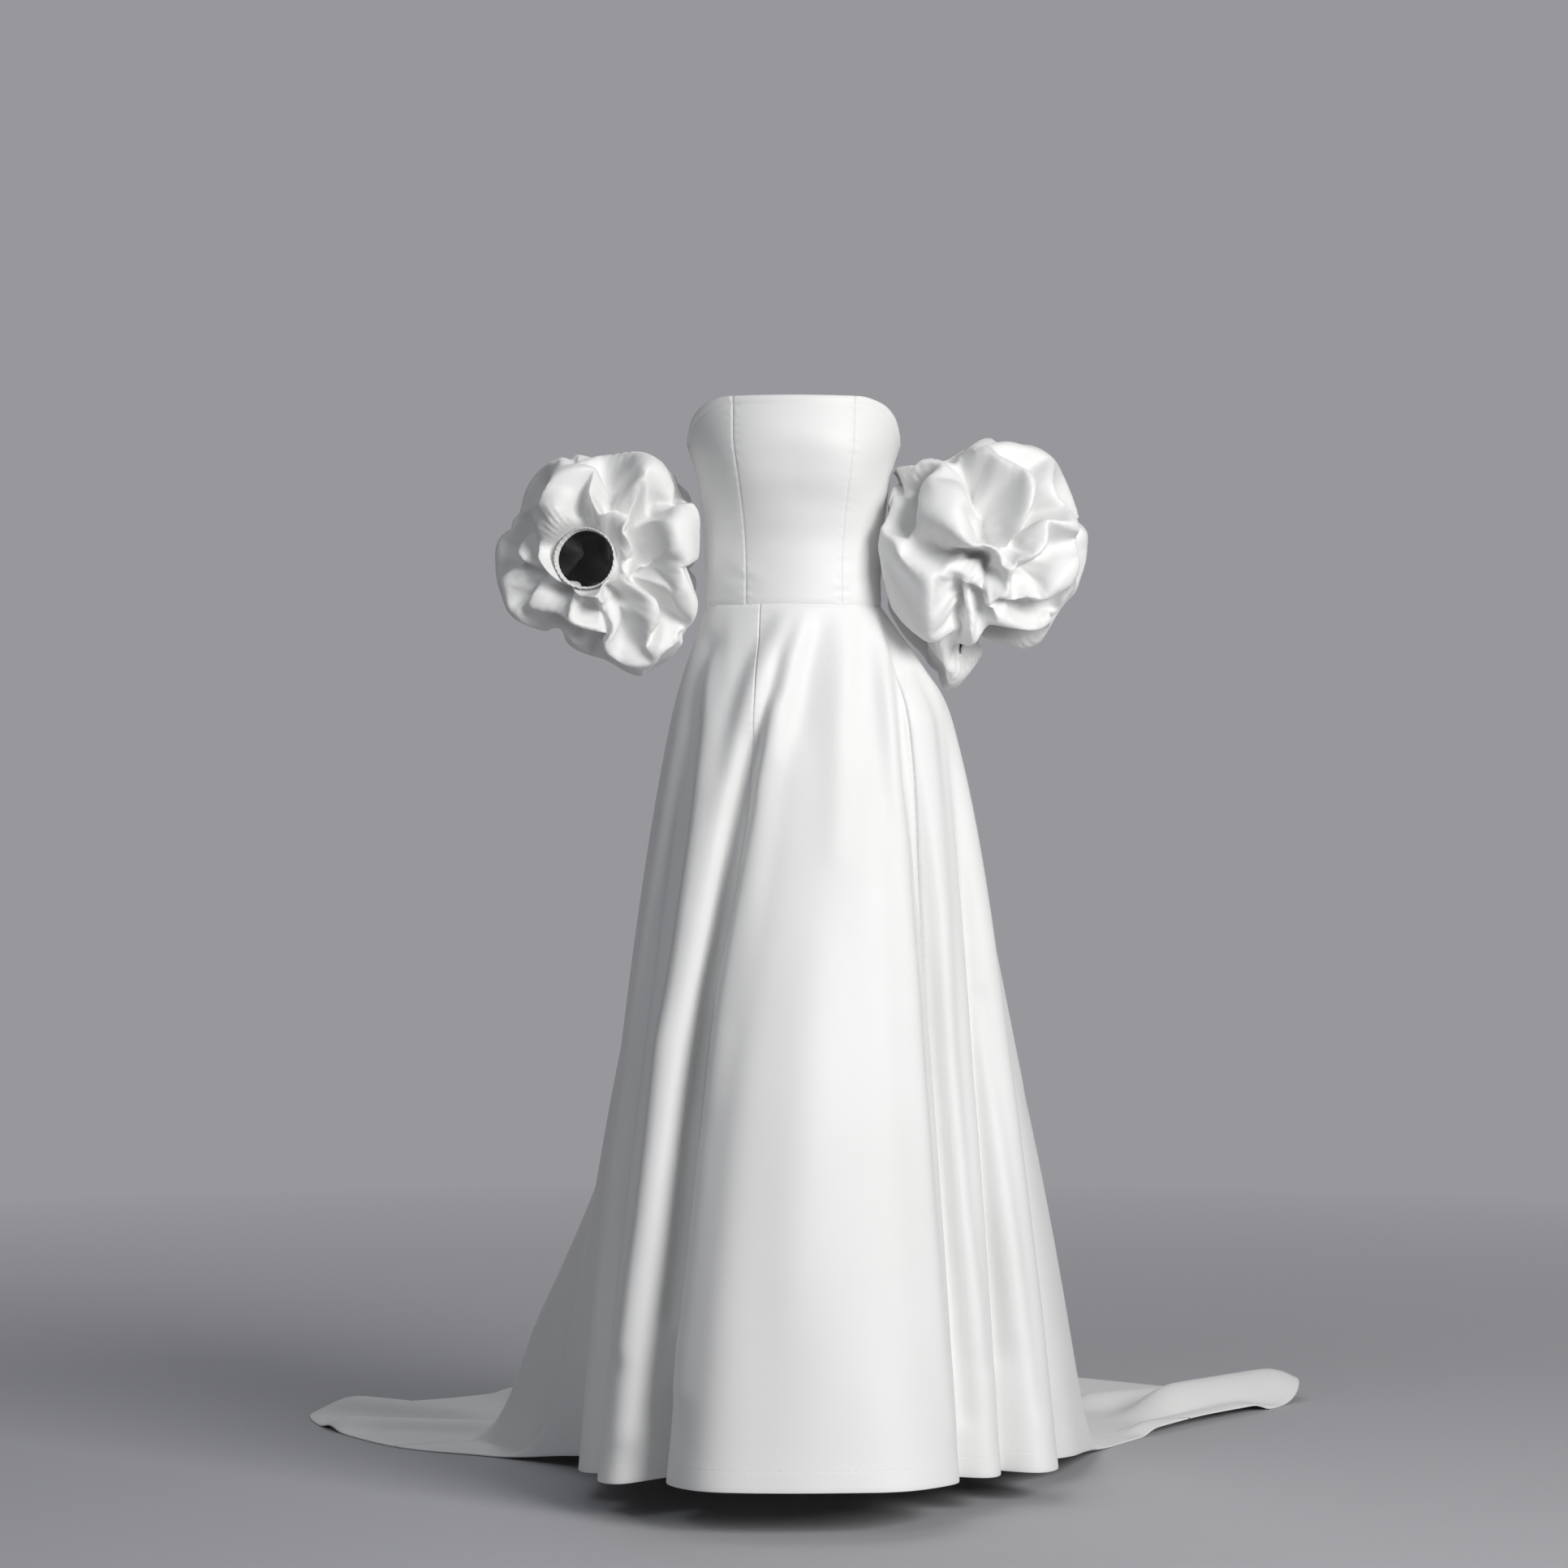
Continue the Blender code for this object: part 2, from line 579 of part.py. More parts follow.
def body_section(x, y, z):
    """Return the half width and the depth of the dress's body beside points, hips included."""
    keys = [ring.z for ring in BODICE_RINGS]
    sizes = [(ring.side, ring.front, ring.back) for ring in BODICE_RINGS]
    read = calm_curve(keys, sizes, np.maximum(z, 0.0).ravel()).reshape(z.shape + (3,))
    hip_side = np.where(x < 0, HIP_LEFT, HIP_RIGHT)
    hip = np.stack([hip_side, np.full_like(z, HIP_FRONT), np.full_like(z, HIP_BACK)], axis=-1)
    share = np.clip(z / HIP_Z, 0.0, HIP_RUN_ON)[..., None]
    read = read + (hip - read) * share
    return read[..., 0], np.where(y < 0, read[..., 1], read[..., 2])


def clear_of_body(grid):
    """Move the points of a sleeve that would lie in the dress's body out to just beside it."""
    x, y = grid[..., 0], grid[..., 1]
    side, depth = body_section(x, y, grid[..., 2])
    ease = BODY_CLEARANCE + HIP_EASE * np.clip(grid[..., 2] / HIP_Z, 0.0, 1.0)
    inside = np.hypot(x / (side + ease), y / (depth + ease))
    push = np.where(inside < 1, 1 / np.maximum(inside, LEAST_SHARE), 1.0)
    moved = grid.copy()
    moved[..., 0] = x * push
    moved[..., 1] = y * push
    return moved


def sleeve_grid(hand):
    """Return the outside of one puff sleeve, from its upper to its lower opening."""
    sleeve = SLEEVES[hand]
    directions = sleeve_directions(sleeve, SLEEVE_COLUMNS, SLEEVE_ROWS)
    clock = np.degrees(np.arctan2(directions[..., 2], directions[..., 0])) % 360
    keys = [row.clock_deg for row in sleeve.reach] + [360 + sleeve.reach[0].clock_deg]
    values = [row.reach for row in sleeve.reach] + [sleeve.reach[0].reach]
    outline = calm_curve(keys, values, clock.ravel()).reshape(clock.shape)
    aside = np.hypot(directions[..., 0], directions[..., 2])
    radius = np.sqrt((outline * aside) ** 2 + (sleeve.depth * directions[..., 1]) ** 2)
    radius += crease_relief(directions, SLEEVE_CREASES[hand], float(np.mean(values)))
    share = np.linspace(0.0, 1.0, SLEEVE_ROWS)[:, None]
    spin = np.linspace(0.0, 2 * math.pi, SLEEVE_COLUMNS, endpoint=False)[None, :]
    radius *= 1 - TURN_IN_TOP * np.exp(-((share / TURN_WIDTH) ** 2))
    radius *= 1 - TURN_IN_LOW * np.exp(-(((1 - share) / TURN_WIDTH) ** 2))
    fade = np.exp(-((np.minimum(share, 1 - share) / GATHER_REACH) ** 2))
    radius += GATHER_DEPTH * fade * np.cos(GATHERS * spin)
    puff = clear_of_body(np.array(sleeve.centre) + directions * radius[..., None])
    cuff = puff[-1:] + unit(sleeve.low_dir) * CUFF_LENGTH
    return np.concatenate([puff, cuff])


def make_sleeves():
    """Make the two puff sleeves."""
    for hand in ("right", "left"):
        outer = sleeve_grid(hand)
        normals = grid_normals(outer, np.roll(outer, -1, axis=1) - np.roll(outer, 1, axis=1))
        add_wall(f"sleeve_{hand}", outer, outer - normals * CLOTH, True, SATIN)


def main():
    """Make every piece of the dress."""
    clear_scene()
    make_bodice()
    make_skirt()
    make_sleeves()


main()
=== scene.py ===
"""Looks of a strapless satin wedding dress: its cloth, folds, seams, zip, light and camera.

Metres, +Z up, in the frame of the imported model: the origin is the middle of the waist ring, the
front faces -Y, and the train lies behind along +Y on the floor. Angles around the body are in
degrees, 0 at the front and positive towards +X, which is the wearer's left.
"""

from __future__ import annotations

import logging
import math
from dataclasses import dataclass, field
from enum import Enum

import bmesh
import bpy
import numpy as np
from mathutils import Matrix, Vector


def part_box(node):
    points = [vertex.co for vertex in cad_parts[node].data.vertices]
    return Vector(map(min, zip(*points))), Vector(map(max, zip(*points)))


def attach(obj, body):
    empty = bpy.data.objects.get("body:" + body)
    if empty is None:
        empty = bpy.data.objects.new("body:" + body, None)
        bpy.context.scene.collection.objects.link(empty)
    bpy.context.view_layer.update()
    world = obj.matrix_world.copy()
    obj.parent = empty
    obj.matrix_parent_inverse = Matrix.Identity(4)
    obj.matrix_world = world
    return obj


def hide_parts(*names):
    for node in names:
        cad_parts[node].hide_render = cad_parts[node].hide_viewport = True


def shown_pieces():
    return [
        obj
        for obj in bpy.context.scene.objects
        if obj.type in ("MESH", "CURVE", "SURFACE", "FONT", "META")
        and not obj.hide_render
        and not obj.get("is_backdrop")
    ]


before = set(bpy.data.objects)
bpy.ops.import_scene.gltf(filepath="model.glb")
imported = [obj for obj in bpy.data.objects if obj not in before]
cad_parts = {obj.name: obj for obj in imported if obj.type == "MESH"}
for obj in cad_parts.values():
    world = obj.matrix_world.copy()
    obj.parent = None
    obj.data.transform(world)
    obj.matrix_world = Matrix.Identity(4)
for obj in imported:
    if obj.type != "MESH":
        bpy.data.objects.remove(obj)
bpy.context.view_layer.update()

Array = np.ndarray
Colour = tuple[float, float, float, float]
Point = tuple[float, float, float]
Point2 = tuple[float, float]

LOG = logging.getLogger("wedding_dress")
FLOOR_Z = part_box("skirt_back_left")[0][2]
CLOTH = 0.002


class Hand(Enum):
    """The wearer's hands, with the side of the body as the value."""

    RIGHT = -1
    LEFT = 1


class Face(Enum):
    """Which face of a puff a fold lies on, with its direction along Y as the value."""

    FRONT = -1
    BACK = 1


class Crest(Enum):
    """How a fold's crest is shaped: rolled over softly or pinched to a line."""

    ROLL = "roll"
    PINCH = "pinch"


# Curves


def unit(vectors: Array) -> Array:
    """Return vectors, in the last axis, with length 1."""
    vectors = np.asarray(vectors, float)
    return vectors / np.maximum(np.linalg.norm(vectors, axis=-1, keepdims=True), 1e-12)


def hermite(keys: Array, values: Array, tangents: Array, at: Array) -> Array:
    """Read a curve through values at keys.

    Args:
        keys: Rising places of the values.
        values: Rows of values, one for each key.
        tangents: Slopes of the curve at the keys.
        at: Places to read.

    Returns:
        A row of values for each place.
    """
    index = np.clip(np.searchsorted(keys, at, side="right") - 1, 0, len(keys) - 2)
    width = (keys[index + 1] - keys[index])[:, None]
    s = (at - keys[index])[:, None] / width
    start, end = values[index], values[index + 1]
    lead, trail = tangents[index] * width, tangents[index + 1] * width
    return (
        (2 * s**3 - 3 * s**2 + 1) * start
        + (s**3 - 2 * s**2 + s) * lead
        + (3 * s**2 - 2 * s**3) * end
        + (s**3 - s**2) * trail
    )


def calm_curve(keys: list[float], values: Array, at: Array) -> Array:
    """Read a curve that never overshoots its values.

    Args:
        keys: Rising places of the values.
        values: A value, or a row of values, for each key.
        at: Places to read, in any shape.

    Returns:
        The values, in the shape of at, with a last axis more where values has rows.
    """
    keys = np.asarray(keys, float)
    values = np.asarray(values, float)
    rows = values if values.ndim == 2 else values[:, None]
    places = np.asarray(at, float)
    rises = np.diff(rows, axis=0) / np.diff(keys)[:, None]
    tangents = np.vstack([rises[:1], np.zeros_like(rises[1:]), rises[-1:]])
    before, after = rises[:-1], rises[1:]
    same_way = before * after > 0
    tangents[1:-1] = np.where(same_way, 2 * before * after / np.where(same_way, before + after, 1.0), 0.0)
    read = hermite(keys, rows, tangents, np.clip(places.ravel(), keys[0], keys[-1]))
    return read.reshape(places.shape + ((rows.shape[1],) if values.ndim == 2 else ()))


def round_curve(values: Array, at: Array) -> Array:
    """Read a closed smooth curve through values at whole numbers.

    Args:
        values: Rows of values around the ring.
        at: Places to read, which wrap around.

    Returns:
        A row of values for each place.
    """
    count = len(values)
    tangents = (np.roll(values, -1, axis=0) - np.roll(values, 1, axis=0)) / 2
    ring = np.vstack([values, values[:1]])
    ends = np.vstack([tangents, tangents[:1]])
    return hermite(np.arange(count + 1.0), ring, ends, np.mod(at, count))


def beside(points: Array, path: Array) -> tuple[Array, Array]:
    """Measure points against a line of straight stretches.

    Args:
        points: Points in the last axis.
        path: The line's points, one a row.

    Returns:
        Each point's distance from the line, and the share of the line at its nearest place.
    """
    nearest = np.full(points.shape[:-1], np.inf)
    share = np.zeros(points.shape[:-1])
    spans = np.linalg.norm(np.diff(path, axis=0), axis=1)
    starts = np.concatenate([[0.0], np.cumsum(spans)])
    for index, span in enumerate(spans):
        way = path[index + 1] - path[index]
        along = np.clip(((points - path[index]) @ way) / (way @ way), 0.0, 1.0)
        away = np.linalg.norm(points - path[index] - along[..., None] * way, axis=-1)
        closer = away < nearest
        nearest = np.where(closer, away, nearest)
        share = np.where(closer, (starts[index] + along * span) / starts[-1], share)
    return nearest, share


def fold_relief(points: Array, path: Array, width: float, height: float, crest: Crest) -> Array:
    """Return how far a fold raises points, fading out at both of its ends.

    Args:
        points: Points of the cloth.
        path: The fold's crest line, one point a row.
        width: Half of the fold's breadth.
        height: Height of the crest, negative for a trough.
        crest: Shape of the crest.

    Returns:
        The rise at each point.
    """
    away, share = beside(points, path)
    taper = np.sin(math.pi * np.clip(0.12 + 0.76 * share, 0.0, 1.0)) ** 0.7
    reach = away / width
    if crest is Crest.PINCH:
        return height * taper * np.exp(-np.sqrt(reach**2 + 0.06) * 1.6) * 1.45
    return height * taper * np.exp(-(reach**2))


def smoothed(grid: Array, passes: int, wraps: bool) -> Array:
    """Even out a grid of points, holding its first and last rows.

    Args:
        grid: Points as (rows, columns, 3).
        passes: How many times each point moves to the mean of its neighbours.
        wraps: Whether the last column is next to the first.

    Returns:
        The evened grid.
    """
    grid = grid.copy()
    for _ in range(passes):
        before, after = np.roll(grid, 1, axis=1), np.roll(grid, -1, axis=1)
        if not wraps:
            before[:, 0], after[:, -1] = grid[:, 0], grid[:, -1]
        grid = (before + 2 * grid + after) / 4
        middle = (grid[:-2] + 2 * grid[1:-1] + grid[2:]) / 4
        grid[1:-1] = middle
    return grid


def evened(points: Array, faces: list[tuple[int, ...]], fixed: Array, passes: int) -> Array:
    """Even out a mesh by moving points towards the middle of their neighbours.

    Args:
        points: The mesh's points, one a row.
        faces: Its faces as point numbers.
        fixed: Which points stay.
        passes: How many times to move them.

    Returns:
        The evened points.
    """
    edges = np.unique(np.sort([(face[i - 1], face[i]) for face in faces for i in range(len(face))], axis=1), axis=0)
    for _ in range(passes):
        total, count = np.zeros_like(points), np.zeros(len(points))
        for near, far in (edges.T, edges.T[::-1]):
            np.add.at(total, near, points[far])
            np.add.at(count, near, 1)
        points = np.where(fixed[:, None], points, (points + total / count[:, None]) / 2)
    return points


def ring_normals(grid: Array) -> Array:
    """Return the outward normals of a grid whose columns run around and whose rows run down."""
    across = np.roll(grid, -1, axis=1) - np.roll(grid, 1, axis=1)
    return unit(np.cross(np.gradient(grid, axis=0), across))


def lengths_along(grid: Array, axis: int) -> Array:
    """Return the distance walked over a grid along an axis, from its first points."""
    steps = np.linalg.norm(np.diff(grid, axis=axis), axis=-1)
    start = np.zeros_like(steps.take([0], axis=axis))
    return np.concatenate([start, np.cumsum(steps, axis=axis)], axis=axis)


# Finishes


class Recipe:
    """A material's node tree, with short calls that add and join its nodes."""

    def __init__(self, name: str) -> None:
        """Start a material with one Principled shader."""
        self.material = bpy.data.materials.new(name)
        self.material.use_nodes = True
        self.tree = self.material.node_tree
        self.shader = self.tree.nodes["Principled BSDF"]

    def add(self, kind: str, inputs: dict | None = None, **settings: object) -> bpy.types.Node:
        """Add a node.

        Args:
            kind: Blender's name of the node.
            inputs: Values or sockets for its inputs, by name or number.
            **settings: Its other settings.

        Returns:
            The node.
        """
        node = self.tree.nodes.new(kind)
        for name, value in settings.items():
            setattr(node, name, value)
        for name, value in (inputs or {}).items():
            self.put(node, name, value)
        return node

    def put(self, node: bpy.types.Node, name: str | int, value: object) -> None:
        """Give a node's input a value, or join it to another node's output."""
        if isinstance(value, bpy.types.NodeSocket):
            self.tree.links.new(value, node.inputs[name])
        else:
            node.inputs[name].default_value = value

    def sums(self, operation: str, *values: object) -> bpy.types.NodeSocket:
        """Add a Math node and return its output."""
        node = self.add("ShaderNodeMath", dict(enumerate(values)), operation=operation)
        return node.outputs[0]

    def noise(self, place: bpy.types.NodeSocket, scale: float, detail: float = 2.0) -> bpy.types.NodeSocket:
        """Add a noise and return its value."""
        inputs = {"Vector": place, "Scale": scale, "Detail": detail, "Roughness": 0.5}
        return self.add("ShaderNodeTexNoise", inputs).outputs[0]

    def spread(self, value: bpy.types.NodeSocket, old: tuple, new: tuple) -> bpy.types.NodeSocket:
        """Add a Map Range from one span to another and return its output."""
        spans = {"Value": value, "From Min": old[0], "From Max": old[1], "To Min": new[0], "To Max": new[1]}
        return self.add("ShaderNodeMapRange", spans).outputs[0]

    def stretch(self, place: bpy.types.NodeSocket, scale: Point, turn: float = 0.0) -> bpy.types.NodeSocket:
        """Add a Mapping that turns and scales places, and return its output."""
        inputs = {"Vector": place, "Scale": scale, "Rotation": (0.0, 0.0, turn)}
        return self.add("ShaderNodeMapping", inputs).outputs[0]

    def bump(
        self, height: bpy.types.NodeSocket, distance: float, strength: float, below: bpy.types.NodeSocket | None
    ) -> bpy.types.NodeSocket:
        """Add a bump over another one and return its normal."""
        node = self.add("ShaderNodeBump", {"Height": height, "Distance": distance, "Strength": strength})
        if below is not None:
            self.put(node, "Normal", below)
        return node.outputs[0]


@dataclass(frozen=True)
class Satin:
    """Heavy satin, with floats of thread over its weave and a soft broad shine."""

    name: str
    light: Colour = (0.86, 0.86, 0.852, 1.0)
    shade: Colour = (0.825, 0.825, 0.812, 1.0)
    roughness: float = 0.54
    shine: float = 0.08
    thread_pitch: float = 0.00035
    pucker_pitch: float = 0.012
    crumple: float = 0.0010

    def wave_scale(self, pitch: float) -> float:
        """Return the Wave texture's scale for bands that repeat at a pitch."""
        return 2 * math.pi / (20 * pitch)

    def build(self) -> bpy.types.Material:
        """Return the material."""
        recipe = Recipe(self.name)
        shader = recipe.shader
        place = recipe.add("ShaderNodeTexCoord").outputs["Object"]
        cloth = recipe.add("ShaderNodeUVMap", uv_map="cloth").outputs[0]
        seam = recipe.add("ShaderNodeAttribute", attribute_name="seam").outputs["Fac"]
        hem = recipe.add("ShaderNodeAttribute", attribute_name="hem").outputs["Fac"]

        mottle = recipe.noise(place, 4.0, 3.0)
        mixed = recipe.add("ShaderNodeMix", data_type="RGBA")
        recipe.put(mixed, "Factor", recipe.spread(mottle, (0.35, 0.65), (0.0, 1.0)))
        recipe.put(mixed, 6, self.shade)
        recipe.put(mixed, 7, self.light)
        recipe.put(shader, "Base Color", mixed.outputs[2])
        streaks = recipe.noise(recipe.stretch(cloth, (420.0, 26.0, 1.0)), 1.0, 3.0)
        rough = recipe.spread(streaks, (0.3, 0.7), (self.roughness - 0.04, self.roughness + 0.04))
        recipe.put(shader, "Roughness", rough)

        normal = recipe.bump(recipe.noise(place, 15.0, 2.0), self.crumple, 0.35, None)
        normal = recipe.bump(recipe.noise(place, 44.0, 2.0), self.crumple * 0.3, 0.25, normal)
        ripple = recipe.add(
            "ShaderNodeTexWave",
            {"Vector": cloth, "Scale": self.wave_scale(self.pucker_pitch), "Distortion": 3.0, "Detail": 2.0},
            bands_direction="Y",
        ).outputs["Fac"]
        near_seam = recipe.spread(seam, (0.0, 0.012), (1.0, 0.0))
        pucker = recipe.sums("MULTIPLY", recipe.sums("SUBTRACT", ripple, 0.5), near_seam)
        normal = recipe.bump(pucker, 0.0006, 0.5, normal)
        at_stitch = recipe.sums("ABSOLUTE", recipe.sums("SUBTRACT", hem, 0.024))
        dots = recipe.add(
            "ShaderNodeTexWave", {"Vector": cloth, "Scale": self.wave_scale(0.009), "Distortion": 1.0}
        ).outputs["Fac"]
        prick = recipe.sums("MULTIPLY", dots, recipe.spread(at_stitch, (0.0, 0.0016), (1.0, 0.0)))
        normal = recipe.bump(recipe.sums("SUBTRACT", 1.0, prick), 0.0004, 0.6, normal)
        normal = recipe.bump(streaks, 0.00008, 0.4, normal)
        floats = recipe.add(
            "ShaderNodeTexWave",
            {"Vector": recipe.stretch(cloth, (1.0, 1.0, 1.0), math.radians(24)), "Distortion": 0.6, "Detail": 1.0,
             "Scale": self.wave_scale(self.thread_pitch)},
        ).outputs["Fac"]
        normal = recipe.bump(floats, 0.00003, 0.35, normal)
        recipe.put(shader, "Normal", normal)
        recipe.put(shader, "Specular IOR Level", 0.5)
        recipe.put(shader, "Sheen Weight", 0.12)
        recipe.put(shader, "Sheen Roughness", 0.45)
        recipe.put(shader, "Coat Weight", self.shine)
        recipe.put(shader, "Coat Roughness", 0.38)
        return recipe.material


@dataclass(frozen=True)
class Trim:
    """Moulded or painted trim, such as the zip's coil, its tape and its slider."""

    name: str
    colour: Colour
    roughness: float
    grain: float

    def build(self) -> bpy.types.Material:
        """Return the material."""
        recipe = Recipe(self.name)
        place = recipe.add("ShaderNodeTexCoord").outputs["Object"]
        speck = recipe.noise(place, self.grain, 3.0)
        mixed = recipe.add("ShaderNodeMix", data_type="RGBA")
        recipe.put(mixed, "Factor", recipe.spread(speck, (0.3, 0.7), (0.0, 1.0)))
        recipe.put(mixed, 6, self.colour)
        recipe.put(mixed, 7, tuple(0.9 * part for part in self.colour[:3]) + (1.0,))
        recipe.put(recipe.shader, "Base Color", mixed.outputs[2])
        rough = recipe.spread(speck, (0.3, 0.7), (self.roughness - 0.05, self.roughness + 0.05))
        recipe.put(recipe.shader, "Roughness", rough)
        recipe.put(recipe.shader, "Normal", recipe.bump(speck, 0.0001, 0.3, None))
        return recipe.material


@dataclass(frozen=True)
class Paper:
    """Plain pale studio paper, which fades into the backdrop's colour far from the dress."""

    name: str = "studio_paper"
    colour: Colour = (0.50, 0.50, 0.52, 1.0)
    fade_from: float = 1.6
    fade_to: float = 4.2

    def build(self) -> bpy.types.Material:
        """Return the material."""
        recipe = Recipe(self.name)
        place = recipe.add("ShaderNodeTexCoord").outputs["Object"]
        tooth = recipe.noise(place, 60.0, 4.0)
        mixed = recipe.add("ShaderNodeMix", data_type="RGBA")
        recipe.put(mixed, "Factor", tooth)
        recipe.put(mixed, 6, self.colour)
        recipe.put(mixed, 7, tuple(0.97 * part for part in self.colour[:3]) + (1.0,))
        recipe.put(recipe.shader, "Base Color", mixed.outputs[2])
        recipe.put(recipe.shader, "Roughness", 0.9)
        recipe.put(recipe.shader, "Specular IOR Level", 0.1)
        distance = recipe.add("ShaderNodeVectorMath", {0: place}, operation="LENGTH").outputs["Value"]
        fade = recipe.spread(distance, (self.fade_from, self.fade_to), (0.0, 1.0))
        clear = recipe.add("ShaderNodeBsdfTransparent").outputs[0]
        blend = recipe.add("ShaderNodeMixShader", {0: fade, 1: recipe.shader.outputs[0], 2: clear})
        recipe.put(recipe.tree.nodes["Material Output"], "Surface", blend.outputs[0])
        return recipe.material


class Wardrobe:
    """The finishes that the pieces share, each made once."""

    def __init__(self) -> None:
        """Make every finish."""
        self.satin = Satin("heavy_satin").build()
        self.lining = Satin(
            "lining_satin", (0.80, 0.80, 0.785, 1.0), (0.76, 0.76, 0.745, 1.0), 0.5, 0.1
        ).build()
        self.tape = Trim("zip_tape", (0.78, 0.78, 0.765, 1.0), 0.6, 900.0).build()
        self.coil = Trim("zip_coil", (0.80, 0.80, 0.79, 1.0), 0.4, 500.0).build()
        self.thread = Trim("sewing_thread", (0.80, 0.80, 0.78, 1.0), 0.55, 1200.0).build()
        self.paper = Paper().build()


# Cloth


def make_mesh(name: str, points: Array, faces: list, finish: bpy.types.Material) -> bpy.types.Object:
    """Make a smooth mesh object.

    Args:
        name: The object's name.
        points: Its vertices, one a row.
        faces: Its faces as vertex numbers.
        finish: Its material.

    Returns:
        The object, in the scene.
    """
    mesh = bpy.data.meshes.new(name)
    mesh.from_pydata([tuple(point) for point in points], [], faces)
    mesh.materials.append(finish)
    mesh.shade_smooth()
    made = bpy.data.objects.new(name, mesh)
    bpy.context.scene.collection.objects.link(made)
    return made


@dataclass
class Cloth:
    """A piece of cloth between an outer and an inner skin, with rounded free edges.

    Its points are (rows, columns, 3), with columns around the body and rows down it.
    """

    name: str
    outer: Array
    normals: Array
    seam: Array
    hem: Array
    wraps: bool = False
    thickness: float = CLOTH
    floor: float | None = None
    rim_steps: int = 3

    def skins(self) -> tuple[Array, list[int]]:
        """Return the closed loop of rows around the cloth's section, and the row that each came from."""
        rows = len(self.outer)
        inner = self.outer - self.normals * self.thickness
        middle = (self.outer + inner) / 2
        half = self.normals * (self.thickness / 2)
        top_way = unit(self.outer[0] - self.outer[1]) * (self.thickness / 2)
        low_way = unit(self.outer[-1] - self.outer[-2]) * (self.thickness / 2)
        loop, source = list(self.outer), list(range(rows))
        turns = [math.pi * step / (self.rim_steps + 1) for step in range(1, self.rim_steps + 1)]
        for turn in turns:
            loop.append(middle[-1] + half[-1] * math.cos(turn) + low_way * math.sin(turn))
            source.append(rows - 1)
        loop += list(inner[::-1])
        source += list(range(rows))[::-1]
        for turn in turns:
            loop.append(middle[0] - half[0] * math.cos(turn) + top_way * math.sin(turn))
            source.append(0)
        points = np.array(loop)
        if self.floor is not None:
            points[..., 2] = np.maximum(points[..., 2], self.floor)
        return points, source

    def build(self, outside: bpy.types.Material, inside: bpy.types.Material) -> bpy.types.Object:
        """Make the piece.

        Args:
            outside: Finish of the outer skin and the rims.
            inside: Finish of the inner skin.

        Returns:
            The object, with a flat map of the cloth in metres and its distance from seams and hem.
        """
        loop, source = self.skins()
        count, columns = loop.shape[:2]
        rows = len(self.outer)
        faces, inner_faces = [], []
        spans = columns if self.wraps else columns - 1
        for row in range(count):
            below = (row + 1) % count
            for column in range(spans):
                right = (column + 1) % columns
                faces.append(
                    (row * columns + column, below * columns + column, below * columns + right, row * columns + right)
                )
                inner_faces.append(rows + self.rim_steps <= row < 2 * rows + self.rim_steps - 1)
        if not self.wraps:
            last = columns - 1
            for row in range(rows - 1):
                near, far = row, 2 * rows + self.rim_steps - 1 - row
                a, b, c, d = (step * columns for step in (near, near + 1, far - 1, far))
                faces.append((b, a, d, c))
                faces.append((a + last, b + last, c + last, d + last))
                inner_faces += [False, False]
            low = [step * columns for step in range(rows - 1, rows + self.rim_steps + 1)]
            high = [step * columns for step in range(2 * rows + self.rim_steps - 1, count)] + [0]
            for edge in (low, high):
                faces.append(tuple(edge[::-1]))
                faces.append(tuple(step + last for step in edge))
                inner_faces += [False, False]
        made = make_mesh(self.name, loop.reshape(-1, 3), faces, outside)
        mesh = made.data
        smooth = np.ones(len(faces), bool)
        smooth[spans * count :] = False
        mesh.polygons.foreach_set("use_smooth", smooth)
        mesh.materials.append(inside)
        mesh.polygons.foreach_set("material_index", np.array(inner_faces, np.int32))
        self.mark(mesh, source, columns)
        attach(made, "root")
        return made

    def mark(self, mesh: bpy.types.Mesh, source: list[int], columns: int) -> None:
        """Write the cloth's flat map and its seam and hem distances onto a mesh.

        Args:
            mesh: The mesh of the piece.
            source: The row of the outer skin that each row of the mesh came from.
            columns: Points in a row.
        """
        steps = np.diff(self.outer, axis=1)
        down_way = unit(np.gradient(self.outer, axis=0))[:, :-1]
        shear = (steps * down_way).sum(axis=-1)
        square = np.sqrt(np.maximum((steps**2).sum(axis=-1) - shear**2, 0.0))
        across = np.concatenate([np.zeros((len(square), 1)), np.cumsum(square, axis=1)], axis=1)
        across -= across[:, columns // 2 : columns // 2 + 1]
        down = lengths_along(self.outer, 0)
        flat = np.stack([across, down], axis=-1)[source].reshape(-1, 2)
        corners = np.empty(len(mesh.loops), np.int32)
        mesh.loops.foreach_get("vertex_index", corners)
        layer = mesh.uv_layers.new(name="cloth")
        layer.uv.foreach_set("vector", flat[corners].astype(np.float32).ravel())
        for name, values in (("seam", self.seam), ("hem", self.hem)):
            found = mesh.attributes.new(name, "FLOAT", "POINT")
            found.data.foreach_set("value", values[source].astype(np.float32).ravel())


# Bodice


@dataclass(frozen=True)
class BodiceRing:
    """Half sizes of the bodice's outside at one height."""

    z: float
    side: float
    front: float
    back: float


